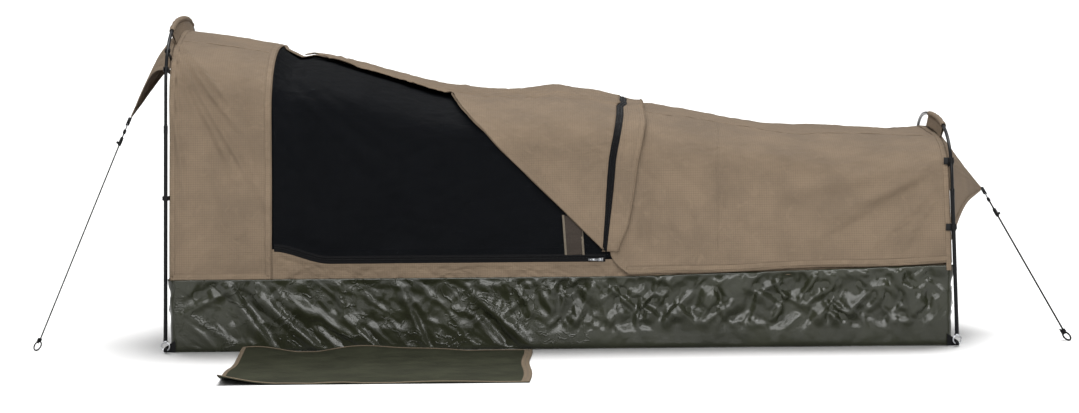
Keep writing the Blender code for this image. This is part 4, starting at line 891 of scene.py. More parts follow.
def make_guy(word, side, tip_drop, reach, ridge, end, out_by, side_by, radius, runner_at):
    """One guy line from its webbing tab to the loop on the ground. Returns its length."""
    name, body = word + "_guy_", word + "_hoop"
    edge = canopy(end, 0.0) + [side * GAP, 0, GAP]
    point = np.array([end + side * reach, 0, ridge - tip_drop])
    tip = edge + (point - edge) * TIP_SHARE + [side * CLOTH, 0, 0]
    ground = np.array([end + side * out_by, -side_by, radius + OFF_GROUND])
    way = unit(ground - tip)
    across = unit(np.cross(way, [0, 0, 1.0]))
    flat_up = np.cross(way, across)

    def piece(part, mesh, finish, nodes=(), slot=None, on=body):
        return finished(name + part, mesh, finish, on, nodes)

    begin = tip + way * TIP_ROOM
    sizes = (WEB_LENGTH, WEB_WIDTH, WEB_THICK)
    tab = solid_box(name + "webbing_tab", begin + way * WEB_LENGTH / 2, way, across, sizes, 0.4)
    web = piece("webbing_tab", tab, black_webbing, [name + "webbing"])
    begin = begin + way * (WEB_LENGTH + GAP)
    strand = np.linspace(begin - way * 0.006, begin + way * (ELASTIC_LENGTH + 0.004), 24)
    mesh = tube(name + "elastic_cord", strand, ELASTIC_RADIUS, 12, across)
    elastic = piece("elastic_cord", mesh, elastic_grey, [name + "elastic"])
    begin = begin + way * (ELASTIC_LENGTH + GAP)
    profile = rounded_profile(TOGGLE_PROFILE, 0.0012)
    mesh = turned(name + "toggle_bead", begin, way, profile)
    toggle = piece("toggle_bead", mesh, plastic_black, [name + "toggle"])
    begin = begin + way * (TOGGLE_LENGTH + GAP)

    turn_start = ground - way * 2 * LOOP
    shut = math.asin((2 * radius + 2 * ROPE_ROOM) / (LOOP * LOOP_FLAT))
    angle = np.linspace(LOOP_START, 2 * math.pi - shut, 40)[:, None]
    loop = turn_start + way * LOOP - way * LOOP * np.cos(angle) + across * LOOP * LOOP_FLAT * np.sin(angle)
    path = resampled(np.concatenate([np.linspace(begin, turn_start, 60), loop]), PATH_STEP)

    def strands(length, turn):
        """Two sets of four strands that cross, as a share of the radius."""
        twist = 2 * math.pi * length / (radius * 12)
        return 1 + 0.05 * np.cos(4 * (turn + twist)) + 0.05 * np.cos(4 * (turn - twist))

    mesh = tube(name + "line", path, radius * 0.95, 16, flat_up, strands)
    line = piece("line", mesh, rope_black, [name + "rope"])
    wraps = np.linspace(0, KNOT_TURNS * 2 * math.pi, 90)[:, None]
    knot_at = turn_start - way * 0.003 + across * radius * 0.9
    wound = knot_at + way * (wraps / wraps.max() - 0.5) * radius * KNOT_LENGTH
    wound = wound + across * np.cos(wraps) * radius * 2.6 + flat_up * np.sin(wraps) * radius * 1.7
    wound[:, 2] = np.maximum(wound[:, 2], radius * 0.95 + OFF_GROUND)
    mesh = tube(name + "knot", wound, radius * 0.9, 10, way, strands)
    knot = piece("knot", mesh, rope_black, slot=name + "rope")

    bore = radius + ROPE_ROOM
    wall = bore + RUNNER_WALL
    half = [(0.001, bore), (0, bore + 0.0008), (0, wall * 0.9), (0.005, wall)]
    barrel = rounded_profile(half + [(RUNNER_LENGTH - length, out) for length, out in half[::-1]], 0.0009)
    barrel = np.concatenate([barrel, barrel[:1]])
    runner_start = begin + way * runner_at
    sleeve = turned(name + "runner_barrel", runner_start, way, barrel)
    out = unit(np.array([side, 0, 0]) - way * way[0] * side)
    stud = [(bore + 0.001, 0.0005), (bore + 0.001, 0.0025), (wall + GAP, 0.0025), (wall + 2 * GAP, 0.0036)]
    stud += [(RUNNER_KNOB_OUT - 0.001, 0.0036), (RUNNER_KNOB_OUT, 0.0022), (RUNNER_KNOB_OUT, 0.0003)]
    seat = runner_start + way * RUNNER_LENGTH * 0.72
    knob = turned(name + "runner_knob", seat, out, rounded_profile(stud, 0.0006))
    mesh = joined(name + "runner", [sleeve, knob])
    runner = piece("runner", mesh, plastic_black, [name + "adjuster"], on=word + "_runner")
    length = float(measured(path)[-1])
    return length


for word, *measures in (
    ("head", -1, HEAD_TIP_DROP, HEAD_REACH, HEAD_RIDGE, HEAD_END, 0.376, 0.376, 0.0020, 0.012),
    ("foot", 1, FOOT_TIP_DROP, FOOT_REACH, FOOT_RIDGE, FOOT_END, 0.331, 0.354, 0.0025, 0.028),
):
    print(word, "guy rope", round(make_guy(word, *measures), 3), "m")

# %% [markdown]
# ## How the canvas hangs
#
# The real canopy is pulled tight between the hoops, so its creases run from the corners that carry the load: down
# from the head hoop's shoulder and across from the foot hoop's shoulder. Between them the cloth swells and sinks
# by a few millimetres. All layers share this one relief, so a flap lies on the panel under it without cutting it.
# TRIM lifts or sinks the ridge at listed x. LOAD_CREASES lists start and end as (x, height), then width and depth.

# %% The canopy's relief
THIN = 0.0014
LOW_FACE = THIN - CLOTH / 2
TRIM = (
    (-1.06, 0.0), (-0.95, 0.003), (-0.86, 0.006), (-0.784, 0.011), (-0.73, -0.002), (-0.695, 0.006), (-0.66, 0.007),
    (-0.59, 0.005), (-0.50, 0.001), (-0.37, -0.002), (-0.21, -0.004), (-0.10, -0.002), (0.00, 0.013), (0.12, 0.012),
    (0.23, 0.003), (0.40, -0.002), (0.57, -0.008), (0.68, -0.010), (0.82, -0.010), (0.97, -0.007), (1.06, 0.0),
)
LOAD_CREASES = (
    ((1.05, 0.500), (0.52, 0.405), 0.020, 0.0080),
    ((1.045, 0.480), (0.66, 0.250), 0.015, -0.0110),
    ((1.045, 0.494), (0.62, 0.305), 0.016, 0.0085),
    ((1.05, 0.455), (0.80, 0.230), 0.011, 0.0060),
    ((1.05, 0.420), (0.92, 0.225), 0.009, -0.0052),
    ((0.90, 0.400), (0.62, 0.340), 0.012, -0.0036),
    ((0.52, 0.292), (1.05, 0.296), 0.006, 0.0024),
    ((0.22, 0.440), (0.34, 0.262), 0.018, -0.0050),
    ((0.245, 0.420), (0.218, 0.255), 0.013, -0.0090),
    ((0.24, 0.520), (0.44, 0.300), 0.022, 0.0044),
    ((0.30, 0.500), (0.62, 0.230), 0.013, -0.0030),
    ((0.48, 0.560), (0.95, 0.430), 0.028, 0.0050),
    ((0.455, 0.560), (0.425, 0.215), 0.006, -0.0022),
    ((-1.03, 0.780), (-0.90, 0.430), 0.026, -0.0095),
    ((-0.99, 0.620), (-0.86, 0.250), 0.016, 0.0058),
    ((-0.88, 0.800), (-0.81, 0.300), 0.018, -0.0055),
)
SWELL, SMALL_SWELL, FINE, SHOULDER = 0.0042, 0.0013, 0.0020, 0.0140
SWELL_LENGTH, SMALL_LENGTH, FINE_LENGTH = 0.38, 0.12, 0.11
ZIP_CLEAR, ZIP_CALM, SHEET_GAP, THREAD_LIFT = 0.022, 0.035, 0.0001, 0.0012
NET_DIP, NET_DIP_TO = 0.006, -0.69
NET_SAG_RUN = 0.030
STITCH, STITCH_GAP, THREAD = 0.0032, 0.0014, 0.00042
STITCH_PROFILE = ((-0.5, 0.15), (-0.40, 0.85), (0.0, 1.0), (0.40, 0.85), (0.5, 0.15))


def crease(a, b, start, end, width, depth):
    """A soft ridge along a line from start to end, highest at its middle, or a valley where depth is below zero."""
    start, end = np.array(start, float), np.array(end, float)
    way = end - start
    length = math.hypot(*way)
    way = way / length
    run = (a - start[0]) * way[0] + (b - start[1]) * way[1]
    off = (b - start[1]) * way[0] - (a - start[0]) * way[1]
    fade = smooth_step(run / (0.25 * length)) * smooth_step((length - run) / (0.35 * length))
    return depth * fade * np.exp(-((off / width) ** 2))


def relief(x, q, base):
    """Outward push in metres: swells, load creases on the near side, fine crumple and the ridge's trim.

    It calms down to nothing along the net's zip, so that the slider has a clear way.
    """
    height = base[..., 2]
    wall, roof = half_lengths(x)
    flat = (q + 1) * (wall + roof)
    held = smooth_step((1 - np.abs(q)) * (wall + roof) / 0.07)
    near = smooth_step((-q - 0.05) / 0.25)
    top = smooth_step((height - turn_height(x)) / (ridge_height(x) - turn_height(x)))
    swell = SWELL * waves(x, flat, SWELL_LENGTH, 11) + SMALL_SWELL * waves(x, flat, SMALL_LENGTH, 12)
    fine = FINE * crumple(x, flat, FINE_LENGTH, 21, 5)
    shoulder = fan(x, height, (HEAD_END - 0.02, HEAD_RIDGE + 0.01), -1.50, -0.75, 7, 5, 0.66, 0.035)
    swell = swell + SHOULDER * shoulder * near * smooth_step((PANEL_EDGE + 0.05 - x) / 0.1)
    side = sum(crease(x, height, *listed) for listed in LOAD_CREASES)
    trim = np.interp(x, *np.array(TRIM).T)
    dip = NET_DIP * smooth_step((x - PANEL_EDGE) / 0.002) * smooth_step((NET_DIP_TO - x) / NET_SAG_RUN)
    zipped = (q < 0) * smooth_step((DOOR_CORNER - x) / 0.05) * smooth_step((x - PANEL_EDGE) / 0.03)
    calm = 1 - zipped * (1 - smooth_step((height - band_top(x) - ZIP_CLEAR) / ZIP_CALM))
    return held * calm * (swell + fine + side * near) + top * (trim - dip)


def on_cloth(x, w, lift, extra=None):
    """A point on the creased canopy at (x, w), lifted outward, and the outward direction there."""
    x, w = np.broadcast_arrays(np.asarray(x, float), np.asarray(w, float))
    q = q_of(x, w)
    base, out = canopy(x, q), canopy_normal(x, q)
    push = lift + relief(x, q, base)
    if extra is not None:
        push = push + extra(x, w, base)
    return base + out * push[..., None], out


def patch_mesh(name, left, right, low, high, size, layer, extra=None, cloth=THIN, sink=0.0):
    """A cloth panel between x = left(w) and right(w), and between w = low(x) and high(x), sunk below its layer."""
    t, s = np.meshgrid(np.linspace(0, 1, size[0]), np.linspace(0, 1, size[1]), indexing="ij")
    low_at, high_at = (edge if callable(edge) else keep(edge) for edge in (low, high))
    corner = np.array(DOOR_CORNER)
    w = mix(low_at(corner), high_at(corner), t)
    x = mix(left(w), right(w), s)
    w = mix(low_at(x), high_at(x), t)
    points, out = on_cloth(x, w, layer - CLOTH / 2 + SHEET_GAP, extra)
    points = points - out * sink
    wall, roof = half_lengths(x)
    uv = np.stack([x, (q_of(x, w) + 1) * (wall + roof)], axis=-1)
    return shell(name, points + out * cloth, points, uv)


def arc_at(x, q, lift):
    """The canopy's line over the swag at one x, lifted outward."""
    x = np.full_like(q, x)
    return canopy(x, q) + canopy_normal(x, q) * lift


def across_of(path, out):
    """Directions across a path in the surface that it lies on."""
    return unit(np.cross(out, unit(np.gradient(path, axis=0))))


def ribbon(name, path, out, width, thick, crown, columns=7):
    """A narrow strip of cloth along a path on a surface: slightly crowned, closed all round."""
    across = across_of(path, out)
    spread = np.linspace(-0.5, 0.5, columns)
    lift = crown * (1 - (2 * spread) ** 2)
    width = np.broadcast_to(np.asarray(width, float), len(path))
    low = path[:, None] + across[:, None] * (width[:, None] * spread)[..., None]
    high = low + out[:, None] * (thick + lift)[None, :, None]
    run = measured(path)
    uv = np.stack(np.broadcast_arrays(run[:, None], width.mean() * spread[None]), axis=-1)
    return shell(name, high, low, uv)


def stitches(name, path, out):
    """A row of stitches along a path: each one a small bead of thread that lies half sunk in the cloth."""
    length = measured(path)[-1]
    count = max(2, int(length / (STITCH + STITCH_GAP)))
    spots = (np.arange(count) + 0.5) * length / count
    return bead_row(name, path, out, spots, STITCH_PROFILE, (STITCH, 2 * THREAD, 2 * THREAD), True)


def seam_pair(x, w, lift, apart, extra):
    """Two rows of stitches along a line on the canopy."""
    path, out = on_cloth(x, w, lift, extra)
    across = across_of(path, out)
    return [stitches("seam", path + across * apart * side, out) for side in (-0.5, 0.5)]


def keep(value):
    """A panel edge at one value all along."""
    return lambda other: value + 0 * other


def from_edge(function, distance):
    """An edge moved along x by a distance."""
    return lambda w: function(w) + distance


# %% [markdown]
# ## The canopy's panels
#
# The head panel, the band under the door, the roof, the far side and the side panel by the feet are separate cuts
# of canvas. Each cut has a hem turned on its free edges and a felled seam where it meets the next one, which shows as
# a low double ridge with two rows of thread. The door side of the roof is open: the net runs up over the ridge there.

# %% Canvas panels
NET_SINK = 0.0030
ROOF_OPEN = 2.12
ROOF_CLOSED_FROM = 0.150
SIDE_CORNER_CURL = 0.060
HEM_IN, SEAM_IN, SEAM_FROM, SIDE_HEM_UP, SIDE_SEAM_X = 0.011, 0.003, ROOF_CLOSED_FROM + 0.09, 0.020, 0.442
RIM_RISE, RIM_RISE_FROM = 0.0240, 0.20
BAND_SLACK, BAND_TUCK, HEM_STANDS, HEM_CORNER, HEM_WAVE = 0.0042, 0.0090, 0.0035, 0.008, 0.004
HEM_THICK, HEM_CROWN, EDGE_ROOM = 0.0009, 0.0006, 0.004


def band_line(x):
    return at_height(x, band_top(x))


def side_left(w):
    """The side panel's left edge: under the folded door, then curling away round the lower corner."""
    corner = at_height(np.array(DOOR_CORNER), DOOR_CORNER_HEIGHT)
    return fold_line(w) + 0.013 + SIDE_CORNER_CURL * np.clip(1 - w / corner, 0, 1) ** 2


def rim_rise(x):
    """How far the canvas has pulled the tub's near rim up, growing evenly towards the foot hoop."""
    return RIM_RISE * np.clip((x - RIM_RISE_FROM) / (FOOT_END - RIM_RISE_FROM), 0, 1)


def side_low(x):
    """The side panel's lower hem hangs in a slight curve over the tub's rim."""
    return at_height(x, TUB_HEIGHT + 0.003 + 0.004 * np.sin(7 * x) ** 2 + rim_rise(x))


def band_extra(x, w, base):
    """The band has gone slack under the open door: small inward wrinkles below its zip."""
    below_zip = smooth_step((band_top(x) - 0.010 - base[..., 2]) / 0.014)
    slack = np.clip(0.5 + crumple(x, base[..., 2], 0.075, 83, 6, lean=math.radians(-50)), 0, 1.4)
    tucked = BAND_TUCK * rim_rise(x) / RIM_RISE * smooth_step((TUB_HEIGHT + 0.050 - base[..., 2]) / 0.020)
    return -BAND_SLACK * slack * below_zip * smooth_step((x - PANEL_EDGE) / 0.03) - tucked


def side_extra(x, w, base):
    """The free lower hem stands off the band, most of all at its corner by the zip and in one long wave."""
    height = base[..., 2]
    free = smooth_step((TUB_HEIGHT + 0.060 - height) / 0.060)
    corner = smooth_step((0.34 - x) / 0.20)
    wave = 0.5 + 0.5 * waves(x, 0 * x, 0.30, 77, 6)
    return free * (HEM_STANDS + HEM_CORNER * corner + HEM_WAVE * wave * smooth_step((1.02 - x) / 0.1))


def canopy_piece(name, mesh, finish, nodes=()):
    """A finished piece of the canopy on the swag's body, with a mesh of its own."""
    return settle(finished(name, mesh, finish, "swag", nodes))


head_panel = patch_mesh("head_panel", keep(HEAD_END), keep(PANEL_EDGE - GAP), 0.0, 1.0, (112, 48), 0)
canopy_piece("head_panel", head_panel, canvas_tan, ["head_side_panel"])
band = patch_mesh("door_band", keep(PANEL_EDGE + GAP), keep(FOOT_END), 0.0, band_line, (20, 360), 0, band_extra)
finished("door_band", band, canvas_tan, "swag", ["lower_band"])
side = patch_mesh("foot_side_panel", side_left, keep(FOOT_END), side_low, 1.0, (78, 150), LAYER, side_extra)
canopy_piece("foot_side_panel", side, canvas_tan, ["side_panel"])
far_side = patch_mesh("far_side", keep(HEAD_END), keep(FOOT_END), 3.0, 4.0, (74, 236), 0)
canopy_piece("far_side", far_side, canvas_tan, ["far_side_panel"])
roof_parts = [
    patch_mesh("roof_head", keep(HEAD_END), keep(PANEL_EDGE), 1.0, 3.0, (90, 40), 0),
    patch_mesh("roof_open", keep(PANEL_EDGE + 0.0002), keep(ROOF_CLOSED_FROM), ROOF_OPEN, 3.0, (42, 120), 0),
    patch_mesh("roof_foot", keep(ROOF_CLOSED_FROM + 0.0002), keep(FOOT_END), 1.0, 3.0, (90, 118), 0),
]
canopy_piece("roof", joined("roof", roof_parts), canvas_tan, ["roof_panel"])


def hems(name, width, runs):
    """Strips of turned hem along lines (x, w, extra, layer) on the canopy, joined as one mesh."""
    strips = []
    for x, w, extra, layer in runs:
        path, out = on_cloth(x, w, layer + LOW_FACE + SHEET_GAP, extra)
        strips.append(ribbon(name, path, out, width, HEM_THICK, HEM_CROWN))
    return joined(name, strips)


t = np.linspace(0, 1, 160)
side_x = mix(0.178, FOOT_END - SEAM_IN, np.linspace(0, 1, 240))
head_x = mix(HEAD_END + SEAM_IN, PANEL_EDGE - EDGE_ROOM, t)
head_w = at_height(mix(HEAD_END, PANEL_EDGE, t), TUB_HEIGHT + 0.008)
for name, width, node, runs in (
    ("canopy_hems", 0.016, "roof_panel", (
        (PANEL_EDGE - HEM_IN + 0 * t, mix(0.006, 1.9, t), None, 0.0),
        (head_x, head_w, None, 0.0),
        (HEAD_END + 0.008 + 0 * t, mix(0.006, 3.99, t), None, 0.0),
        (FOOT_END - 0.008 + 0 * t, mix(1.01, 3.99, t), None, 0.0),
    )),
    ("felled_seams", 0.011, "roof_panel", (
        (mix(HEAD_END + SEAM_IN, PANEL_EDGE - SEAM_IN, t), 1.0 + 0 * t, None, 0.0),
        (mix(SEAM_FROM, FOOT_END - SEAM_IN, t), 1.0 + 0 * t, None, LAYER),
        (mix(HEAD_END + SEAM_IN, FOOT_END - SEAM_IN, t), 3.0 + 0 * t, None, 0.0),
    )),
    ("side_hems", 0.014, "side_panel", (
        (side_x, side_low(side_x) + SIDE_HEM_UP, side_extra, LAYER),
        (FOOT_END - 0.009 + 0 * t, mix(0.015, 0.99, t), side_extra, LAYER),
    )),
):
    canopy_piece(name, hems(name, width, runs), canvas_hem_lit)

face = LOW_FACE + THREAD_LIFT
first_x, last_x = HEAD_END + EDGE_ROOM, FOOT_END - EDGE_ROOM
head_run, foot_run, far_run = (
    np.linspace(start, end, 300)
    for start, end in ((first_x, PANEL_EDGE - EDGE_ROOM), (SEAM_FROM, last_x), (first_x, last_x))
)
w_door, w_foot, w_seam = (np.linspace(low, high, 240) for low, high in ((0.01, 1.9), (0.02, 0.98), (0.04, 0.97)))
w_head = np.linspace(0.02, 3.98, 400)
rows = []
for x, w, lift, apart, extra in (
    (head_run, 1.0 + 0 * head_run, face, 0.006, None),
    (far_run, 3.0 + 0 * far_run, face, 0.006, None),
    (foot_run, 1.0 + 0 * foot_run, face + LAYER, 0.006, None),
    (PANEL_EDGE - HEM_IN + 0 * w_door, w_door, face, 0.010, None),
    (FOOT_END - 0.009 + 0 * w_foot, w_foot, face + LAYER, 0.007, side_extra),
    (side_x, side_low(side_x) + SIDE_HEM_UP, face + LAYER, 0.008, side_extra),
    (SIDE_SEAM_X - 0.018 * (1 - w_seam), w_seam, face + LAYER - 0.0007, 0.005, side_extra),
    (HEAD_END + 0.008 + 0 * w_head, w_head, face, 0.009, None),
):
    rows += seam_pair(x, w, lift, apart, extra)
canopy_piece("canopy_thread", joined("canopy_thread", rows), tan_thread)
print("canvas pieces laid out")

# %% [markdown]
# ## The tub
#
# The tub is welded vinyl, a floor with four sides that come up all round, and it holds the mattress. It was packed
# folded, so its sides are crushed into hundreds of small facets. Near the head the canopy's pull adds long diagonal
# folds. I lay the wall out as a strip round the swag and push it in and out by random heights on a bent triangular
# lattice, so flat facets meet in keen creases, and let it run smooth again along the bottom edge. The long folds are
# listed as start and end (x, height), then width and depth.

# %% Tub
TUB_WALL, TUB_CORNER, PUSH_LIMIT = 0.003, 0.020, 0.015
FOIL_HEIGHT, LONG_FOLD, BROAD, FLARE, RISE_FLARE = 0.0125, 0.0035, 0.0030, 0.0046, 0.0048
RING_STEP, LATTICE = 0.0042, (97, 61)
FLOOR_SHARES = (0.25, 0.55, 0.80, 0.93, 0.985)
TUB_FOLDS = (
    ((-0.925, 0.215), (-0.765, -0.02), 0.016, 0.0120),
    ((-0.885, 0.200), (-0.740, -0.02), 0.014, -0.0090),
    ((-0.850, 0.185), (-0.620, -0.02), 0.018, 0.0130),
    ((-0.800, 0.160), (-0.600, -0.02), 0.013, -0.0110),
    ((-0.760, 0.155), (-0.500, -0.01), 0.017, 0.0120),
    ((-0.690, 0.105), (-0.500, -0.03), 0.013, -0.0120),
    ((-0.605, 0.220), (-0.575, 0.060), 0.011, 0.0100),
    ((-0.600, 0.110), (-0.465, -0.02), 0.013, 0.0130),
    ((-0.560, 0.080), (-0.440, -0.02), 0.011, -0.0100),
    ((-0.450, 0.210), (-0.335, -0.03), 0.013, 0.0115),
    ((-0.410, 0.150), (-0.330, -0.03), 0.011, -0.0110),
    ((-0.260, 0.180), (-0.045, -0.02), 0.014, 0.0120),
    ((-0.230, 0.120), (-0.090, -0.03), 0.013, -0.0120),
    ((-0.070, 0.220), (-0.005, 0.070), 0.012, 0.0100),
    ((-1.075, 0.080), (-0.870, 0.180), 0.012, 0.0100),
    ((-1.060, 0.110), (-0.900, 0.205), 0.010, -0.0080),
)


def rounded_ring(half_x, half_y, radius):
    """Points and outward directions round a rectangle with round corners, evenly spaced, from the near head corner."""
    straight_x, straight_y, arc = 2 * (half_x - radius), 2 * (half_y - radius), radius * math.pi / 2
    total = 2 * (straight_x + straight_y) + 4 * arc
    run = np.linspace(0, total, int(total / RING_STEP), endpoint=False)
    sides = (
        ((radius - half_x, -half_y), (1, 0), straight_x),
        ((half_x, radius - half_y), (0, 1), straight_y),
        ((half_x - radius, half_y), (-1, 0), straight_x),
        ((-half_x, half_y - radius), (0, -1), straight_y),
    )
    points, out = np.zeros((len(run), 2)), np.zeros((len(run), 2))
    start = 0.0
    for (sx, sy), (dx, dy), length in sides:
        on = (run >= start) & (run < start + length)
        local = (run[on] - start)[:, None]
        points[on] = np.array([sx, sy]) + local * [dx, dy]
        out[on] = (dy, -dx)
        start += length
        on = (run >= start) & (run < start + arc)
        angle = (run[on] - start) / radius
        centre = np.array([sx, sy]) + length * np.array([dx, dy]) + radius * np.array([-dy, dx])
        first = np.array([dy, -dx])
        out[on] = np.cos(angle)[:, None] * first + np.sin(angle)[:, None] * np.array([dx, dy])
        points[on] = centre + radius * out[on]
        start += arc
    return run, points, out


def foil(a, b, size, seed, lean, stretch):
    """Crushed skin: random heights on a bent triangular lattice, joined by flat facets. About -1 to 1."""
    bend = size * 0.40
    a, b = a * math.cos(lean) + b * math.sin(lean), (b * math.cos(lean) - a * math.sin(lean)) / stretch
    p = (a + bend * waves(a, b, size * 3.1, seed + 1, 6)) / size
    r = (b + bend * waves(a, b, size * 2.7, seed + 2, 6)) / size
    p = p - 0.5 * r
    heights = np.random.default_rng(seed).uniform(-1, 1, LATTICE)
    i, j = np.floor(p).astype(int), np.floor(r).astype(int)
    s, t = p - i, r - j
    corners = ((0, 0), (1, 0), (0, 1), (1, 1))
    near, on, up, far = (heights[(i + di) % LATTICE[0], (j + dj) % LATTICE[1]] for di, dj in corners)
    low = near + (on - near) * s + (up - near) * t
    high = far + (up - far) * (1 - s) + (on - far) * (1 - t)
    return np.where(s + t < 1, low, high)


def tub_crush(run, height):
    """The wall's push in and out in metres, for a distance round the tub and a height."""
    run, height = np.broadcast_arrays(run, height)
    share = height / TUB_HEIGHT
    x_near = run + TUB_CORNER + HEAD_END
    head = smooth_step((0.10 - x_near) / 0.45) * (run < TUB_LENGTH)
    folds = sum(crease(x_near, height, *fold) for fold in TUB_FOLDS) * (run < TUB_LENGTH)
    long = crumple(run, height, 0.30, 301, 4, stretch=0.30, lean=math.radians(-42), keen=1.0)
    patchy = mix(0.62, 1.0, smooth_step(0.65 + 0.9 * waves(run, height, 0.15, 351, 8)))
    crush = foil(run, height, 0.019, 311, math.radians(-32), 2.4) + foil(run, height, 0.021, 321, math.radians(40), 1.7)
    upper = smooth_step((share - 0.20) / 0.24)
    crush = FOIL_HEIGHT * crush * patchy * mix(0.08, 1.0, upper) * mix(1.0, 0.20, head)
    return folds + LONG_FOLD * long * head + crush + BROAD * waves(run, height, 0.30, 331)


def at_level(points, z):
    """Points of a ring at a height."""
    return np.concatenate([points, np.full((len(points), 1), z)], axis=1)


run, ring, out = rounded_ring(TUB_LENGTH / 2 + 0.002, HALF_WIDTH - 0.006, TUB_CORNER - 0.004)
inner_ring = ring - out * TUB_WALL
wall_z = TUB_HEIGHT * np.linspace(0, 1, 52)
inner_z = TUB_HEIGHT * np.linspace(1, 0.03, 8)
column = wall_z[:, None]
push = tub_crush(run[None, :], column)
from_corner = np.maximum(FOOT_END - np.abs(ring[:, 0]), HALF_WIDTH - np.abs(ring[:, 1]))
push = push * mix(0.15, 1.0, smooth_step((from_corner - 0.015) / 0.06))
held = smooth_step((TUB_HEIGHT - column) / 0.016) * smooth_step((column + 0.006) / 0.02)
push = (PUSH_LIMIT * np.tanh(push / PUSH_LIMIT) - 0.002) * held
round_off = 0.010 * (1 - np.sqrt(1 - np.clip(1 - column / 0.014, 0, 1) ** 2))
rise = rim_rise(ring[:, 0]) * smooth_step((-ring[:, 1] - 0.25) / 0.20)
flare = FLARE * smooth_step((column - 0.150) / 0.04)
flare = flare + RISE_FLARE * rise / RIM_RISE * smooth_step((column - 0.160) / 0.03)
outer = np.repeat(at_level(ring, 0.0)[None], len(wall_z), axis=0)
outer[..., 2] = column * (1 + rise / TUB_HEIGHT)
outer[..., :2] += out[None] * (push - round_off + flare)[..., None]
inner = np.repeat(at_level(inner_ring, 0.0)[None], len(inner_z), axis=0)
inner[..., 2] = (inner_z[:, None] * 0.97 + 0.003) * (1 + rise / TUB_HEIGHT)
inner[0, :, 2] = TUB_HEIGHT + rise
inner_push = np.stack([np.interp(inner_z, wall_z, line) for line in (push + flare).T], axis=1)
inner[..., :2] += out[None] * inner_push[..., None]
under = [at_level(ring * k, 0.0002) for k in FLOOR_SHARES]
inside = [at_level(inner_ring * k, TUB_WALL + 0.0004) for k in FLOOR_SHARES[::-1]]
points = np.array([*under, *outer, *inner, *inside])
reach = 0.02 * (1 - np.array(FLOOR_SHARES))
spots = np.concatenate([-reach, wall_z, 2 * TUB_HEIGHT - inner_z, 2 * TUB_HEIGHT + reach[::-1]])
uv = np.stack(np.broadcast_arrays(run[None, :], spots[:, None]), axis=-1)
finished("tub", ring_mesh("tub", points, uv), tub_vinyl, "swag", ["floor_tub"])
print("tub points", len(points) * len(run))

# %% [markdown]
# ## The door and its net
#
# The door is part of the side panel. It has been unzipped along the band, folded back on itself along a slant and
# thrown over the ridge, so its inner side shows. A fold in canvas is never sharp, so a roll of cloth runs along the
# slant. The zip that ran along the door's foot now stands up beside a storm strip whose free edge curls away. Behind
# it hangs the fly net, which sags a little and folds softly away from its tight corner.

# %% Door flap, zips and net
ZIP_WIDTH, STRIP_WIDTH = 0.020, 0.046
FLAP_BACK = 2.60
FLAP_EDGE_W = (1.0, 1.37, 1.62, 1.85, 2.0, 2.6)
FLAP_EDGE_X = (0.000, -0.154, -0.324, -0.404, -0.424, -0.150)
CORNER_W = float(at_height(np.array(DOOR_CORNER), DOOR_CORNER_HEIGHT))
NET_STOP = DOOR_CORNER + 0.170
FLAP_TOP = FLAP_BACK - 0.02
ON_DOOR = 2 * LAYER
FLAP_PUFF, FLAP_RIPPLE, FLAP_GATHER, FLAP_LIFT, FLAP_LEAST = 0.0050, 0.0014, 0.0035, 0.0012, 0.0004
STRIP_LIFT, STRIP_CURL, TAPE_LIFT = 0.0010, 0.0130, 0.0008
NET_CLOTH, NET_FOLD, NET_SWELL = 0.0006, 0.0055, 0.0060
COIL_PITCH, COIL_WIDE, COIL_THICK, COIL_HIGH = 0.0016, 0.0042, 0.0012, 0.0016
COIL_PROFILE = ((-0.5, 0.25), (-0.34, 0.9), (0.34, 0.9), (0.5, 0.25))


def flap_right(w):
    """The folded door's right edge climbs from the slider and leans towards the foot."""
    climb = np.clip((w - CORNER_W) / (2 - CORNER_W), 0, 1)
    return DOOR_CORNER - 0.010 + 0.065 * (1 - (1 - climb) ** 2.4) + 0.002 * np.sin(9 * w + 1)


def flap_left(w):
    """Its left edge is the fold up to the roof's seam, then a line that nears the ridge towards the head."""
    return fold_line(w) + np.interp(w, FLAP_EDGE_W, FLAP_EDGE_X)


def zip_right(w):
    """The zip stands a little on edge at the slider, so it looks narrower there."""
    return flap_right(w) + ZIP_WIDTH * mix(0.62, 1.0, smooth_step((w - CORNER_W) / 0.30))


def strip_right(w):
    """The storm strip's free edge: narrow at the slider, and swung out half way up."""
    middle = np.sin(math.pi * np.clip((w - CORNER_W) / (1.25 - CORNER_W), 0, 1))
    return zip_right(w) + STRIP_WIDTH * (mix(0.66, 1.0, smooth_step((w - CORNER_W) / 0.12)) + 0.34 * middle)


def flap_extra(x, w, base):
    """The folded cloth stands off near its roll and ripples along the ridge."""
    from_fold = np.clip((x - flap_left(w)) / 0.10, 0, 1)
    puff = FLAP_PUFF * np.exp(-from_fold * 3) * smooth_step((1.05 - w) / 0.1)
    ripple = FLAP_RIPPLE * crumple(x, base[..., 2], 0.07, 61, 4, lean=math.radians(-48))
    ripple = ripple * smooth_step((1.2 - w) / 0.3)
    gather = FLAP_GATHER * np.abs(waves(x, w, 0.10, 63, 8))
    gather = gather * smooth_step((w - 0.80) / 0.25) * smooth_step((2.5 - w) / 0.3)
    return np.maximum(puff + ripple + FLAP_LIFT, FLAP_LEAST) + gather


def strip_extra(x, w, base):
    """The storm strip is sewn down along the zip, and its other edge curls out in a wavy fold."""
    share = np.clip((x - zip_right(w)) / STRIP_WIDTH, 0, 1)
    wave = (0.65 + 0.35 * np.sin(11 * w + 0.6)) * (1 - 0.75 * smooth_step((w - 1.2) / 0.4))
    return STRIP_LIFT + STRIP_CURL * share**2 * wave


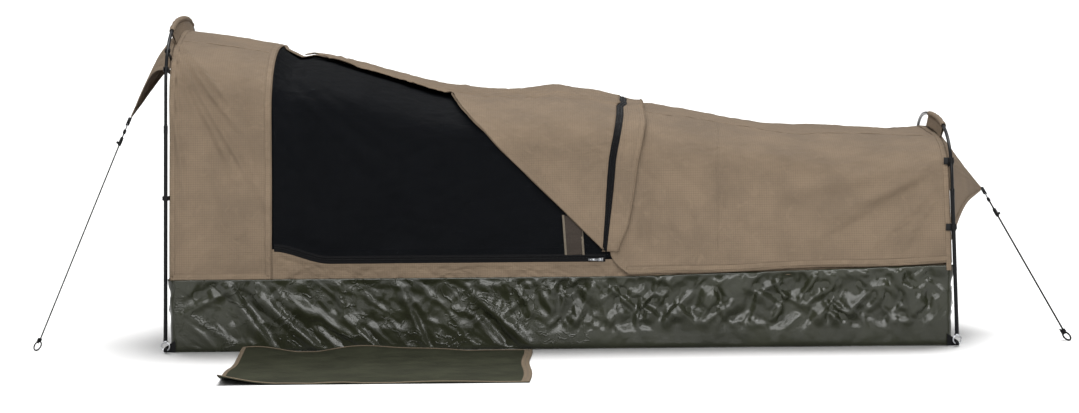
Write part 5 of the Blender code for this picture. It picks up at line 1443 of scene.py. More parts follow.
def net_extra(x, w, base):
    """Soft folds that fall inward from the net's tight upper corner, none at its sewn edges."""
    height = base[..., 2]
    edge = smooth_step((x - PANEL_EDGE) / 0.05) * smooth_step((height - band_top(x)) / 0.05)
    folds = fan(x, height, (PANEL_EDGE - 0.16, 0.92), -1.12, -0.45, 7, 71, 1.05, 0.050)
    broad = 0.5 + 0.5 * waves(x, height, 0.30, 73, 8, stretch=2.6, lean=math.radians(-44))
    return -edge * (NET_FOLD * np.clip(folds, 0, 1.2) + NET_SWELL * np.clip(broad, 0, 1.2))


def on_tape(x, w, base):
    """The zip tape lies just above the layer under it."""
    return TAPE_LIFT + 0 * x


def coil(name, x, w, lift, wide=COIL_WIDE):
    """The turns of a coil zip: a row of beads laid across a line on the canopy."""
    path, out = on_cloth(x, w, lift)
    spots = np.arange(COIL_PITCH / 2, measured(path)[-1], COIL_PITCH)
    return bead_row(name, path, out, spots, COIL_PROFILE, (wide, COIL_THICK, COIL_HIGH), False)


flap_edge, tape_edge = from_edge(flap_right, -GAP), from_edge(zip_right, -GAP)
flap = patch_mesh("folded_door", flap_left, flap_edge, CORNER_W, FLAP_BACK, (240, 90), ON_DOOR, flap_extra)
canopy_piece("folded_door", flap, canvas_inner_lit, ["door_flap"])
w = np.linspace(CORNER_W + 0.01, 1.0, 200)
path, out = on_cloth(fold_line(w) + 0.0012, w, 1.5 * LAYER + 0.002)
roll = tube("door_fold_roll", path, 0.0030 + 0.0004 * np.sin(40 * w), 12, out)
canopy_piece("door_fold_roll", roll, canvas_inner_lit)
zip_black = webbing("zip_black", (0.0035, 0.0035, 0.004), flat=True)
coil_black = coated("coil_black", (0.006, 0.0062, 0.007), 0.34)
tape = patch_mesh("flap_zip_tape", flap_right, tape_edge, CORNER_W, FLAP_TOP, (240, 8), ON_DOOR, on_tape, 0.0010)
canopy_piece("flap_zip_tape", tape, zip_black, ["flap_zip"])
w = np.linspace(CORNER_W + 0.01, FLAP_TOP - 0.01, 300)
lines = [mix(flap_right(w), zip_right(w), share) for share in (0.25, 0.70)]
rails = [coil("zip_coil", x, w, ON_DOOR + 0.0020, 0.0030) for x in lines]
canopy_piece("flap_zip_coil", joined("flap_zip_coil", rails), coil_black)
strip = patch_mesh("storm_strip", zip_right, strip_right, CORNER_W, FLAP_TOP, (240, 16), ON_DOOR, strip_extra)
canopy_piece("storm_strip", strip, canvas_hem_lit, ["flap_storm_strip"])
path, out = on_cloth(strip_right(w) - 0.001, w, ON_DOOR + 0.0006, strip_extra)
canopy_piece("strip_edge", tube("strip_edge", path, 0.0019, 10, out), canvas_hem_lit)
lines = [(mix(zip_right(w), strip_right(w), share), strip_extra) for share in (0.07, 0.20, 0.75)]
rows = []
for x, extra in (*lines, (flap_right(w) - 0.004, flap_extra)):
    rows.append(stitches("strip_thread", *on_cloth(x, w, ON_DOOR + LOW_FACE + 0.0003, extra)))
canopy_piece("strip_thread", joined("strip_thread", rows), tan_thread)

nets = [
    patch_mesh(name, keep(PANEL_EDGE + 0.0004), keep(stop), low, high, size, 0, net_extra, NET_CLOTH, NET_SINK)
    for name, stop, low, high, size in (
        ("door_net", NET_STOP, band_line, 1.0, (90, 170)), ("net_roof", 0.120, 1.0, ROOF_OPEN, (50, 140))
    )
]
canopy_piece("door_net", joined("door_net", nets), fly_net, ["mesh_door"])

zip_x = np.linspace(PANEL_EDGE + 0.006, DOOR_CORNER, 340)
net_zip_w = at_height(zip_x, band_top(zip_x) + 0.010)
for start, node, tape_w, tape_lift, tape_sizes, coil_w, coil_lift in (
    ("door_zip", "bottom_zip", band_line(zip_x), LOW_FACE + 0.0002, (0.012, 0.0006), band_line(zip_x) + 0.006, 0.0022),
    ("net_zip", "mesh_zip", net_zip_w, -0.0020, (0.010, 0.0005), net_zip_w, -0.0010),
):
    path, out = on_cloth(zip_x, tape_w, tape_lift)
    finished(start + "_tape", ribbon(start + "_tape", path, out, *tape_sizes, 0.0002), zip_black, "swag", [node])
    finished(start + "_coil", coil(start + "_coil", zip_x, coil_w, coil_lift), coil_black, "swag")

tape_dark = webbing("tape_dark", (0.030, 0.024, 0.020), flat=True)
tape_brown = webbing("tape_edge", (0.10, 0.085, 0.065), flat=True)
tape_x = DOOR_CORNER - 0.049 - 0.034
tape_w = at_height(tape_x + 0 * t, mix(BAND_TOP + 0.0125, BAND_TOP + 0.120, t))
path, out = on_cloth(tape_x - 0.006 * t, tape_w, -0.0018)
canopy_piece("touch_tape", ribbon("touch_tape", path, out, 0.050, 0.0006, 0.0001, 9), tape_dark, ["mesh_touch_tape"])
tape_edges = []
for shift in (-0.024, 0.024):
    path, out = on_cloth(tape_x - 0.006 * t + shift, tape_w, -0.0008)
    tape_edges.append(ribbon("tape_edge", path, out, 0.006, 0.0005, 0.0003))
canopy_piece("touch_tape_edges", joined("touch_tape_edges", tape_edges), tape_brown)

# %% [markdown]
# ### Zip sliders
#
# A slider is a cast body of two plates on a post, with a bridge over the upper plate. The pull hangs in the bridge by
# an eye and swings flat on either side. The door's slider was left at the corner with its pull towards the head.

# %% Sliders
PLATE, HEEL, POST = (0.013, 0.0085, 0.0012), (0.006, 0.0095, 0.0012), (0.004, 0.0026, 0.0034)
BRIDGE, BRIDGE_WIRE = ((-0.0046, 0.0), (-0.0042, 0.0032), (0.0042, 0.0032), (0.0046, 0.0)), 0.0010
EYE_AT, EYE_LONG, EYE_WIDE, EYE_THICK = 0.0032, 0.0036, 0.0026, 0.0007
PULL_LENGTH, PULL_FROM, PULL_WIDE, PULL_THICK = 0.034, 0.0066, 0.0058, 0.0015


def bent_wire(name, spots, radius, up):
    """A rounded bar through a few spots, curved between them."""
    spots = np.asarray(spots, float)
    run = measured(spots)
    path = read_at(np.linspace(0, run[-1], 40), run, spots)
    for _ in range(6):
        path[1:-1] = 0.25 * path[:-2] + 0.5 * path[1:-1] + 0.25 * path[2:]
    return tube(name, path, radius, 12, up)


def flat_box(name, x, y, z, sizes, dish):
    """A small upright cast plate of these sizes, lengthwise along x."""
    return solid_box(name, np.array([x, y, z]), (1, 0, 0), (0, 0, 1), sizes, dish)


def slider_mesh(name, x, y, z, out):
    """Body of a slider on the face at y, its front drawn in, and the bridge over it."""
    parts = []
    for level in (0.0006, 0.0030):
        parts.append(flat_box(name, x, y + out * level, z, PLATE, 0.4))
        parts.append(flat_box(name, x + 0.0035, y + out * level, z, HEEL, 0.4))
    parts.append(flat_box(name, x + 0.003, y + out * 0.0018, z, POST, 0.3))
    top = y + out * POST[2]
    parts.append(bent_wire(name, [(x + dx, top + out * rise, z) for dx, rise in BRIDGE], BRIDGE_WIRE, (0, 0, 1)))
    return joined(name, parts)


def pull_mesh(name, x, y, z):
    """A pull lying towards the head: a wire eye under the bridge, a link and a flat tag with rounded ends."""
    turn = round_turn(40)
    eye = np.stack([x - EYE_AT + EYE_LONG * np.cos(turn), y + 0 * turn, z + EYE_WIDE * np.sin(turn)], axis=1)
    tag = PULL_LENGTH - PULL_FROM
    parts = [tube(name, eye, EYE_THICK, 10, (0, 1, 0), closed=True)]
    parts.append(flat_box(name, x - PULL_FROM - tag / 2, y, z, (tag, PULL_WIDE, PULL_THICK), 0.45))
    parts.append(flat_box(name, x - PULL_LENGTH + 0.006, y, z, (0.010, 0.0036, 0.0020), 0.45))
    return joined(name, parts)


slider_x = DOOR_CORNER - 0.013
slider_y = -HALF_WIDTH - LAYER - GAP
door_slider = slider_mesh("zip_slider", slider_x, slider_y, BAND_TOP, -1)
finished("zip_slider", door_slider, zinc, "door_slider", ["door_slider"])
pull_y = slider_y - 0.0035 - 0.0029 / 2
door_pull = pull_mesh("zip_pull", slider_x, pull_y, BAND_TOP)
finished("zip_pull", door_pull, zinc, "door_pull", ["door_slider_pull"])
net_slider = slider_mesh("net_zip_slider", DOOR_CORNER - 0.030, -HALF_WIDTH + CLOTH + LAYER + GAP, BAND_TOP + 0.006, 1)
finished("net_zip_slider", net_slider, zinc, "mesh_slider", ["mesh_slider"])
print("door, net and zips laid out")

# %% [markdown]
# ## Poles, pins and clips
#
# Each hoop is two straight tubes with a bowed tube plugged between them, painted black. The joint shows as a short
# swaged collar. The feet stand on steel pins whose eyes hang in webbing loops sewn to the tub's corners. Plastic
# hooks on the canopy's ends snap on the poles, and a canvas sleeve holds the crown.

# %% Hoops
HOOK_WRAP, HOOK_CLEAR, HOOK_MIDDLE, HOOK_HALF = math.radians(138), 0.0009, 0.0012, 0.0060
STRAP_WIDTH, STRAP_THICK, STRAP_CROWN, LOOP_WIDTH = 0.019, 0.0012, 0.0002, 0.0095
LEG_RADIUS, CROWN_RADIUS = 0.0055, 0.0046
EYE_RADIUS, EYE_WIRE, COLLAR_THICK = 0.011, 0.002, 0.003
LEG_LIP, SWAGE_RADIUS, STEM_RADIUS, STEM_COLLAR = 0.0047, LEG_RADIUS + 0.0004, 0.0038, 0.0075
SIDES = ((-1, "near"), (1, "far"))
HOOPS = {
    "head": {
        "side": -1, "crown": HEAD_CROWN, "bend": HEAD_CROWN - 0.1755, "joint": HEAD_CROWN - 0.2755,
        "bow": HEAD_ROUND, "lean": HEAD_LEAN,
    },
    "foot": {
        "side": 1, "crown": FOOT_CROWN, "bend": FOOT_CROWN - 0.1565, "joint": FOOT_CROWN - 0.1765,
        "bow": FOOT_ROUND, "lean": FOOT_LEAN,
    },
}


def stand(hoop, points):
    """Points of the upright hoop plane, put in their leaning place over the hinge."""
    side, lean = hoop["side"], -hoop["side"] * hoop["lean"]
    points = np.asarray(points, float) - [0, 0, HINGE_Z]
    c, s = math.cos(lean), math.sin(lean)
    x = points[..., 0] * c + points[..., 2] * s
    z = -points[..., 0] * s + points[..., 2] * c
    return np.stack([x, points[..., 1], z], axis=-1) + [side * HINGE_X, 0, HINGE_Z]


def bow(hoop, low, count=220):
    """The bowed pole's middle line in the hoop plane: a rounded rectangle |y|^n + z^n = 1 over straight legs."""
    angle = np.linspace(0, math.pi, count)
    y = -np.sign(np.cos(angle)) * np.abs(np.cos(angle)) ** (2 / hoop["bow"]) * HINGE_Y
    z = hoop["bend"] + (hoop["crown"] - hoop["bend"]) * np.sin(angle) ** (2 / hoop["bow"])
    y = np.concatenate([[-HINGE_Y], y, [HINGE_Y]])
    z = np.concatenate([[low], z, [low]])
    path = np.stack([0 * y, y, z], axis=1)
    return resampled(path, 0.006)


def pole_at(hoop, z, side):
    """The pole's middle and direction at height z on one side."""
    path = bow(hoop, 0.02)
    path = path[path[:, 1] * side > 0][::-side]
    path = path[: np.argmax(path[:, 2]) + 1]
    y = np.interp(z, path[:, 2], path[:, 1])
    y2 = np.interp(z + 0.004, path[:, 2], path[:, 1])
    ends = stand(hoop, [(0, y, z), (0, y2, z + 0.004)])
    return ends[0], unit(ends[1] - ends[0])


for word, hoop in HOOPS.items():
    across = stand(hoop, (1.0, 0, 0)) - stand(hoop, (0, 0, 0))
    body = word + "_hoop"
    crown = stand(hoop, bow(hoop, hoop["joint"] - 0.03))
    crown_tube = tube(word + "_crown_tube", crown, CROWN_RADIUS, 24, across)
    finished(word + "_crown_tube", crown_tube, pole_black, body, [word + "_pole_crown"])
    foot = HINGE_Z + EYE_RADIUS + EYE_WIRE + COLLAR_THICK + GAP
    for side, name in SIDES:
        spots = stand(hoop, [(0, side * HINGE_Y, foot), (0, side * HINGE_Y, hoop["joint"])])
        length = float(np.linalg.norm(spots[1] - spots[0]))
        wall = rounded_profile(
            [
                (0.001, 0.0042), (0, LEG_LIP), (0, LEG_RADIUS), (length - 0.024, LEG_RADIUS),
                (length - 0.022, SWAGE_RADIUS), (length - 0.002, SWAGE_RADIUS), (length, 0.0050),
                (length, LEG_LIP), (length - 0.001, LEG_LIP),
            ], 0.0006,
        )
        wall = np.concatenate([wall, [[length - 0.002, 0.0042]], wall[:1]])
        leg = turned(word + name + "_leg", spots[0], spots[1] - spots[0], wall)
        finished(f"{word}_{name}_leg_tube", leg, pole_black, body, [f"{word}_pole_{name}_leg"])
        base = np.array([hoop["side"] * HINGE_X, side * HINGE_Y, HINGE_Z])
        way = unit(spots[1] - spots[0])
        top = EYE_RADIUS + EYE_WIRE
        stem = rounded_profile(
            [
                (EYE_RADIUS, 0.0003), (EYE_RADIUS, 0.0030), (top, STEM_RADIUS), (top + GAP, STEM_COLLAR),
                (top + COLLAR_THICK, STEM_COLLAR), (top + COLLAR_THICK + GAP, STEM_RADIUS),
                (top + 0.050, STEM_RADIUS), (top + 0.052, 0.0003),
            ], 0.0007,
        )
        turn = round_turn(48)[:, None]
        eye = base + EYE_RADIUS * (np.cos(turn) * across + np.sin(turn) * way)
        pin = joined("pin", [turned("stem", base, way, stem), tube("eye", eye, EYE_WIRE, 14, (0, 1, 0), closed=True)])
        finished(f"{word}_{name}_steel_pin", pin, steel, body, [f"{word}_{name}_pin"])


def clip_mesh(hoop, z, side, end, proud):
    """A hook round the pole with a neck to the canvas: a C of flat bar, thicker at its lips, and a webbing tab."""
    centre, forward = pole_at(hoop, z, side)
    edge = arc_at(end, np.linspace(0, 1, 1601) * side, proud)
    nearest = edge[np.argmin(np.linalg.norm(edge - centre, axis=1))]
    arm = nearest - centre
    arm = arm - forward * (arm @ forward)
    length = float(np.linalg.norm(arm))
    arm = arm / length
    beside = np.cross(forward, arm)
    middle = (LEG_RADIUS if z < hoop["joint"] else CROWN_RADIUS) + HOOK_CLEAR + HOOK_MIDDLE
    angle = np.linspace(-HOOK_WRAP, HOOK_WRAP, 36)
    turn = round_turn(16)
    wall = 0.0011 + 0.0005 * smooth_step((np.abs(angle) - 1.9) / 0.4)
    wide = np.sign(np.cos(turn)) * np.abs(np.cos(turn)) ** 0.5 * HOOK_HALF
    thick = np.sign(np.sin(turn)) * np.abs(np.sin(turn)) ** 0.7
    out = np.cos(angle)[:, None] * arm + np.sin(angle)[:, None] * beside
    rings = centre + out[:, None] * (middle + wall[:, None] * thick)[..., None] + forward * wide[None, :, None]
    lips = rings[[0, -1]]
    caps = mix(lips.mean(axis=1, keepdims=True), lips, 0.05)
    rings = np.concatenate([caps[:1], rings, caps[1:]])
    hook = ring_mesh("hook", rings, np.zeros((*rings.shape[:2], 2)))
    reach = max(0.004, length - middle)
    over, wide = (0.012, 0.0180) if hoop["side"] > 0 else (0.002, 0.012)
    middle_of_neck = centre + arm * (middle + (reach + over) / 2 - 0.0006)
    return joined("hook", [hook, solid_box("hook", middle_of_neck, arm, forward, (reach + over, wide, 0.0042), 0.3)])


def strap_mesh(hoop, z, side, end):
    """A flat strap: sewn on the canvas hem, then across to the pole and half way round it."""
    centre, _ = pole_at(hoop, z, side)
    out_x = hoop["side"]
    w = float(at_height(np.array(end), z)) if z < turn_height(np.array(end)) else 0.5
    sewn, _ = on_cloth(end - out_x * np.array([0.014, 0.008, 0.001]), w + np.zeros(3), 2 * LAYER)
    sewn[:, 1] = np.where(side > 0, -sewn[:, 1], sewn[:, 1])
    sewn[:, 2] = z
    bore = LEG_RADIUS + 0.0006
    turn = np.linspace(math.radians(100), math.radians(-50), 8)
    y = centre[1] + side * bore * np.sin(turn)
    round_pole = np.stack([centre[0] + out_x * bore * np.cos(turn), y, 0 * turn + z], axis=1)
    path = resampled(np.concatenate([sewn, round_pole]), 0.0015)
    ahead = unit(np.gradient(path, axis=0))
    out = unit(np.cross(ahead, (0, 0, 1.0)))
    out = out * np.sign(out[:1, 1:2] * side)
    return ribbon("strap", path, out, STRAP_WIDTH, STRAP_THICK, STRAP_CROWN, 5)


CLIPS = (
    ("head", HEAD_CROWN - 0.0955, TUB_HEIGHT + 0.224, HEAD_END),
    ("foot", FOOT_CROWN - 0.1025, TUB_HEIGHT + 0.127, FOOT_END),
)
for word, high, low, end in CLIPS:
    hoop = HOOPS[word]
    for side, name in SIDES:
        proud = CLOTH / 2 + (LAYER if word == "foot" and side < 0 else 0)
        for level, z in (("upper", high), ("lower", low)):
            heights = (z + 0.020, z - 0.028) if word == "head" and level == "upper" else (z,)
            hooks = [clip_mesh(hoop, height, side, end, proud) for height in heights]
            if word == "foot":
                hooks.append(strap_mesh(hoop, z, side, end))
            start = f"{word}_{level}_{name}"
            finished(start + "_hook", joined("hook", hooks), plastic_black, word + "_hoop", [start + "_clip"])


# %% [markdown]
# ### Corner tabs
#
# A triangle of black webbing is sewn on the tub at each corner, and its end loops round the pin's eye.

# %% Corner tabs
LOOP_RADIUS = 0.0052


def tab_mesh(hoop, side):
    """A sewn triangle on the tub's side, thick at its edges, and a loop of the same strap through the eye."""
    middle = hoop["side"] * HINGE_X
    inward = -hoop["side"]
    face = HALF_WIDTH + GAP
    wire_z = HINGE_Z - EYE_RADIUS
    s, r = np.meshgrid(np.linspace(0, 1, 24), np.linspace(0, 1, 14), indexing="ij")
    tall = mix(0.013, 0.034, s)
    x = middle - inward * 0.004 + inward * 0.030 * s
    z = wire_z - 0.0065 + r * tall
    low = np.stack([x, side * (face + 0 * x), z], axis=-1)
    edge = np.minimum(np.minimum(r, 1 - r) * 6, np.minimum(s, 1 - s) * 6).clip(0, 1)
    high = low + np.array([0, side, 0]) * (0.0016 + 0.0006 * np.sin(edge * math.pi))[..., None]
    patch = shell("tab", high, low, np.stack([s * 0.062, r * 0.046], axis=-1))
    turn = np.linspace(-math.pi / 2, math.pi / 2, 16)
    y = np.concatenate([[face + 0.002], HINGE_Y + LOOP_RADIUS * np.cos(turn), [face + 0.002]])
    z = np.concatenate([[wire_z - LOOP_RADIUS], wire_z + LOOP_RADIUS * np.sin(turn), [wire_z + LOOP_RADIUS]])
    path = np.stack([np.full_like(y, middle), side * y, z], axis=1)
    run = measured(path)
    path = read_at(np.linspace(0, run[-1], 40), run, path)
    ahead = unit(np.gradient(path, axis=0))
    out = unit(np.cross(ahead, (1.0, 0, 0)))
    loop = ribbon("tab", path, out, LOOP_WIDTH, STRAP_THICK, STRAP_CROWN, 5)
    return joined("tab", [patch, loop])


for word, hoop in HOOPS.items():
    for side, name in SIDES:
        strap = tab_mesh(hoop, side)
        finished(f"{word}_{name}_tab_strap", strap, black_webbing, "swag", [f"{word}_{name}_corner_tab"])


# %% [markdown]
# ### Crown sleeves
#
# A strip of canvas goes over the crown and comes back down to the roof's edge, sewn to it in one seam.

# %% Sleeves
SLEEVE_CLOTH, SLEEVE_RIPPLE, SLEEVE_ROOM, SLEEVE_LOOSE, SKIRT_APART = 0.0010, 0.0005, 0.0012, 0.35, 0.0012


def sleeve_mesh(hoop, near, far, end, into):
    """Round the pole, then two skirts that meet on the roof's edge: a keyhole section along the crown."""
    path = stand(hoop, bow(hoop, 0.1, 900))
    path = path[(path[:, 1] >= near) & (path[:, 1] <= far)]
    path = resampled(path, 0.005)
    ahead = unit(np.gradient(path, axis=0))
    across = stand(hoop, (1.0, 0, 0)) - stand(hoop, (0, 0, 0))
    up = unit(np.cross(ahead, across))
    up = up * np.sign(up[:, 2:])
    rim = arc_at(end + into * LAYER, np.linspace(-1, 1, 1601), CLOTH / 2 + THIN)
    foot = read_at(path[:, 1], rim[:, 1], rim)
    angle = np.radians(np.linspace(-60, 240, 30))
    hug = CROWN_RADIUS + SLEEVE_ROOM
    loose = 1 + SLEEVE_LOOSE * np.abs(np.sin(angle * 0.5 + 0.4)) * (0.6 + 0.4 * np.sin(path[:, 1:2] * 90))
    around = np.cos(angle)[None, :, None] * (across * into) + np.sin(angle)[None, :, None] * up[:, None]
    round_part = path[:, None] + (hug * loose)[..., None] * around
    t = np.linspace(0.12, 1, 10)[None, :, None]
    first, last = round_part[:, :1], round_part[:, -1:]
    beside = unit(np.cross(unit(foot - path), (0, 1.0, 0)))[:, None] * into
    skirt_in = mix(first, foot[:, None] + beside * SKIRT_APART, t)[:, ::-1]
    skirt_out = mix(last, foot[:, None] - beside * SKIRT_APART, t)
    line = np.concatenate([skirt_in, round_part, skirt_out], axis=1)
    slope = np.gradient(line, axis=1)
    normal = unit(np.cross(np.gradient(line, axis=0), slope))
    centre = line.mean(axis=1, keepdims=True)
    if ((line - centre) * normal).sum() < 0:
        normal = -normal
    ripple = SLEEVE_RIPPLE * crumple(path[:, 1:2], np.linspace(0, 0.05, line.shape[1])[None], 0.03, 91, 3)
    outer = line + normal * (SLEEVE_CLOTH + ripple)[..., None]
    run = measured(path)
    spread = np.concatenate([[0], np.cumsum(np.linalg.norm(np.diff(line[len(line) // 2], axis=0), axis=1))])
    uv = np.stack(np.broadcast_arrays(run[:, None], spread[None]), axis=-1)
    return shell("sleeve", outer, line, uv)


head_sleeve = sleeve_mesh(HOOPS["head"], -0.300, 0.300, HEAD_END, 1)
finished("head_crown_sleeve", head_sleeve, canvas_hem_lit, "head_hoop", ["head_sleeve"])
foot_sleeve = sleeve_mesh(HOOPS["foot"], -0.290, 0.070, FOOT_END, -1)
finished("foot_crown_sleeve", foot_sleeve, canvas_hem_lit, "foot_hoop", ["foot_sleeve"])
print("hoops dressed")

# %% [markdown]
# ## End walls, vents and awnings
#
# Each end is a flat canvas wall with a net window bound in tape. A hood of canvas hangs over it from the roof's edge
# and is pulled out to a point, so air gets in and rain stays out. The hood's free edges are hollow curves with a
# turned hem, and pull lines run in them towards the point.

# %% End walls and vents
ENDS = (
    {
        "word": "head", "end": HEAD_END, "into": 1, "width": 0.50, "low": TUB_HEIGHT + 0.162, "tall": 0.30,
        "lean": HEAD_LEAN, "pulled_from": (0.46, 0.80),
    },
    {
        "word": "foot", "end": FOOT_END, "into": -1, "width": 0.46, "low": TUB_HEIGHT + 0.082, "tall": 0.17,
        "lean": -FOOT_LEAN, "pulled_from": (0.46, 0.5),
    },
)
WALL_DEPTH, VENT_DEPTH, VENT_THICK, BINDING_DEPTH, THREAD_DEPTH = 0.0006, 0.0024, 0.0006, 0.0004, -0.0011
DENT, BINDING_WIDTH = 0.0035, 0.016


def ring_shell(name, outer, inner, uv):
    """A closed band: an outer face of rings, then the inner face back again."""
    return ring_mesh(name, np.concatenate([outer, inner[::-1]]), np.concatenate([uv, uv[::-1]]), wrap_rows=True)


def wall_outline(spec):
    """The wall's edge from the near rim over the ridge to the far rim and back along the tub, seen from its vent."""
    q = np.linspace(-1, 1, 1200)
    x = np.full_like(q, spec["end"] + spec["into"] * 0.004)
    base, out = canopy(x, q), canopy_normal(x, q)
    edge = base + out * (relief(x, q, base) - 0.0024)[:, None]
    foot_y = np.linspace(edge[-1, 1], edge[0, 1], 500)[1:-1]
    foot = np.stack([0 * foot_y, foot_y, 0 * foot_y + TUB_HEIGHT + 0.0008], axis=1)
    edge = np.concatenate([edge, foot])[:, 1:]
    middle = np.array([0, spec["low"] + spec["tall"] / 2])
    angle = np.arctan2(edge[:, 1] - middle[1], edge[:, 0])
    order = np.argsort(angle)
    angle, edge = angle[order], edge[order]
    turn = np.linspace(-math.pi, math.pi, 360, endpoint=False)
    wrapped = np.concatenate([angle[-1:] - 2 * math.pi, angle, angle[:1] + 2 * math.pi])
    edge = np.concatenate([edge[-1:], edge, edge[:1]])
    return turn, np.stack([np.interp(turn, wrapped, edge[:, k]) for k in (0, 1)], axis=1), middle


def vent_edge(spec, turn, middle, grow=0.0):
    """The window's outline: a rounded rectangle |y|^8 + z^8 = 1 in its half sizes."""
    a, b = spec["width"] / 2 + grow, spec["tall"] / 2 + grow
    reach = (np.abs(np.cos(turn) / a) ** 8 + np.abs(np.sin(turn) / b) ** 8) ** (-1 / 8)
    return middle + reach[:, None] * np.stack([np.cos(turn), np.sin(turn)], axis=1)


def end_x(spec, y, z, depth):
    """x of a sheet at a depth inside the end, with its lean and its soft dents inward."""
    pulls = np.clip(fan(np.abs(y), z, spec["pulled_from"], -2.6, -1.7, 6, 403, 0.5, 0.06), 0, 2)
    dents = 0.5 + 0.5 * waves(y, z, 0.16, 401 + spec["into"], 8) + 0.5 * pulls
    edge = smooth_step((z - TUB_HEIGHT) / 0.05) * smooth_step((HALF_WIDTH - np.abs(y)) / 0.08)
    return spec["end"] + spec["into"] * (depth + DENT * dents * edge) + (z - TUB_HEIGHT) * math.tan(spec["lean"])


def on_end(spec, flat, depth):
    """Points (y, z) put on a sheet at a depth inside the end."""
    return np.concatenate([end_x(spec, flat[..., 0], flat[..., 1], depth)[..., None], flat], axis=-1)


def end_sheet(spec, name, shares, inner, outer, depth, thick):
    """A sheet between two outlines round the vent."""
    flat = mix(inner, outer[None], shares[:, None, None])
    return ring_shell(name, on_end(spec, flat, depth), on_end(spec, flat, depth + thick), flat)


for spec in ENDS:
    word = spec["word"]
    turn, edge, middle = wall_outline(spec)
    hole, net_edge = vent_edge(spec, turn, middle), vent_edge(spec, turn, middle, 0.008)
    wall = end_sheet(spec, word + "_wall", np.linspace(0, 1, 44), hole[None], edge, WALL_DEPTH, THIN)
    canopy_piece(word + "_wall", wall, canvas_tan, [word + "_end_wall"])
    shares = np.linspace(0.004, 1, 30)
    window = end_sheet(spec, word + "_window", shares, middle, net_edge, VENT_DEPTH, VENT_THICK)
    canopy_piece(word + "_window", window, vent_net, [word + "_vent_mesh"])
    closed = np.concatenate([turn, turn[:3] + 2 * math.pi])
    path = on_end(spec, vent_edge(spec, closed, middle, 0.006), BINDING_DEPTH)
    outward_way = np.broadcast_to([-spec["into"], 0.0, 0.0], path.shape)
    binding = ribbon(word + "_vent_binding", path, outward_way, BINDING_WIDTH, 0.0010, 0.0004)
    canopy_piece(word + "_vent_binding", binding, canvas_hem_lit)
    rows = []
    for grow in (0.001, 0.011):
        path = on_end(spec, vent_edge(spec, closed, middle, grow), THREAD_DEPTH)
        rows.append(stitches("vent_thread", path, outward_way))
    canopy_piece(word + "_vent_thread", joined("vent_thread", rows), tan_thread)


# %% Awnings
POLE_OUT_BY, POLE_UP_BY, AWNING_SAG, AWNING_CREASE, AWNING_AWAY = 0.017, 0.014, 0.006, 0.0026, 0.0012


def awning_points(end, out, corner, reach, tip_height, hollow, over_pole):
    """Straight lines from the roof's edge to the point. The base draws in between, so the free edges are hollow."""
    q = np.linspace(-1, 0, 2001)
    q0 = np.interp(corner, canopy(np.full_like(q, end), q)[:, 2], q)
    u, v = np.meshgrid(np.linspace(0, 1, 64), np.linspace(-1, 1, 129), indexing="ij")
    span = -q0 * (1 - hollow * np.sin(0.8 * math.pi * u))
    tip = np.array([end + out * reach, 0.0, tip_height])
    edge = canopy(np.full_like(u, end), v * span)
    edge[..., 0] += out * GAP
    points = edge + (tip - edge) * (u * TIP_SHARE)[..., None]
    points = points + np.array([out * POLE_OUT_BY, 0, POLE_UP_BY]) * (over_pole * np.sin(math.pi * u**0.55))[..., None]
    normal = np.cross(np.gradient(points, axis=0), np.gradient(points, axis=1)) * out
    normal = normal / (np.linalg.norm(normal, axis=-1, keepdims=True) + 1e-12)
    pull = crumple(v * 2.0, u * 0.15, 0.36, 501 + out, 4, keen=1.0)
    pull = pull * smooth_step(u / 0.15) * smooth_step((1 - u) / 0.25)
    sag = AWNING_SAG * np.sin(math.pi * u) * np.cos(v * math.pi / 2)
    points = points + normal * ((AWNING_CREASE * pull - sag) * smooth_step(u / 0.12))[..., None]
    points[..., 0] += out * AWNING_AWAY * smooth_step((0.1 - u) / 0.1)
    return points, normal, u, v


AWNINGS = (
    ("head", HEAD_END, -1, HEAD_RIDGE - 0.098, HEAD_REACH, HEAD_RIDGE - HEAD_TIP_DROP, 0.24, 1.0),
    ("foot", FOOT_END, 1, FOOT_RIDGE - 0.279, FOOT_REACH, FOOT_RIDGE - FOOT_TIP_DROP, 0.09, 0.25),
)
for word, end, out, corner, reach, tip_height, hollow, over_pole in AWNINGS:
    points, normal, u, v = awning_points(end, out, corner, reach, tip_height, hollow, over_pole)
    uv = np.stack([v * 0.4 * (1 - u), u * 0.30], axis=-1)
    mesh = shell(word + "_hood", points + normal * THIN / 2, points - normal * THIN / 2, uv)
    finished(word + "_hood", mesh, canvas_tan, word + "_hoop", [word + "_awning"])
    strips, rows = [], []
    for column in (2, -3):
        path, up = points[2:-2, column], normal[2:-2, column]
        width = 0.010 * np.linspace(1, 0.5, len(path))
        strips.append(ribbon("hood_hem", path + up * THIN / 2, up, width, 0.0009, 0.0004))
        rows.append(stitches("hood_thread", path + up * (THIN / 2 + 0.0012), up))
    finished(word + "_hood_hem", joined("hood_hem", strips), canvas_hem_lit, word + "_hoop")
    finished(word + "_hood_thread", joined("hood_thread", rows), tan_thread, word + "_hoop")
print("ends laid out")

# %% [markdown]
# ## The mat
#
# The mat is a sheet of coated cloth bound all round with tape. It was thrown down beside the tub, so it lies in low
# waves, its edge against the tub is rucked up, and one outer corner has curled.

# %% Mat
MAT_LENGTH, MAT_DEPTH, MAT_FROM_HEAD, MAT_OFF, MAT_SPLAY = 0.780, 0.705, 0.200, 0.022, 0.014
MAT_CLOTH, MAT_WEAVE, MAT_TOP, CURL_REACH = 0.0022, 0.0036, 0.0265, 0.15
RUCK, MAT_SWELL, FRONT, CURL = 0.0085, 0.0042, 0.0035, 0.024


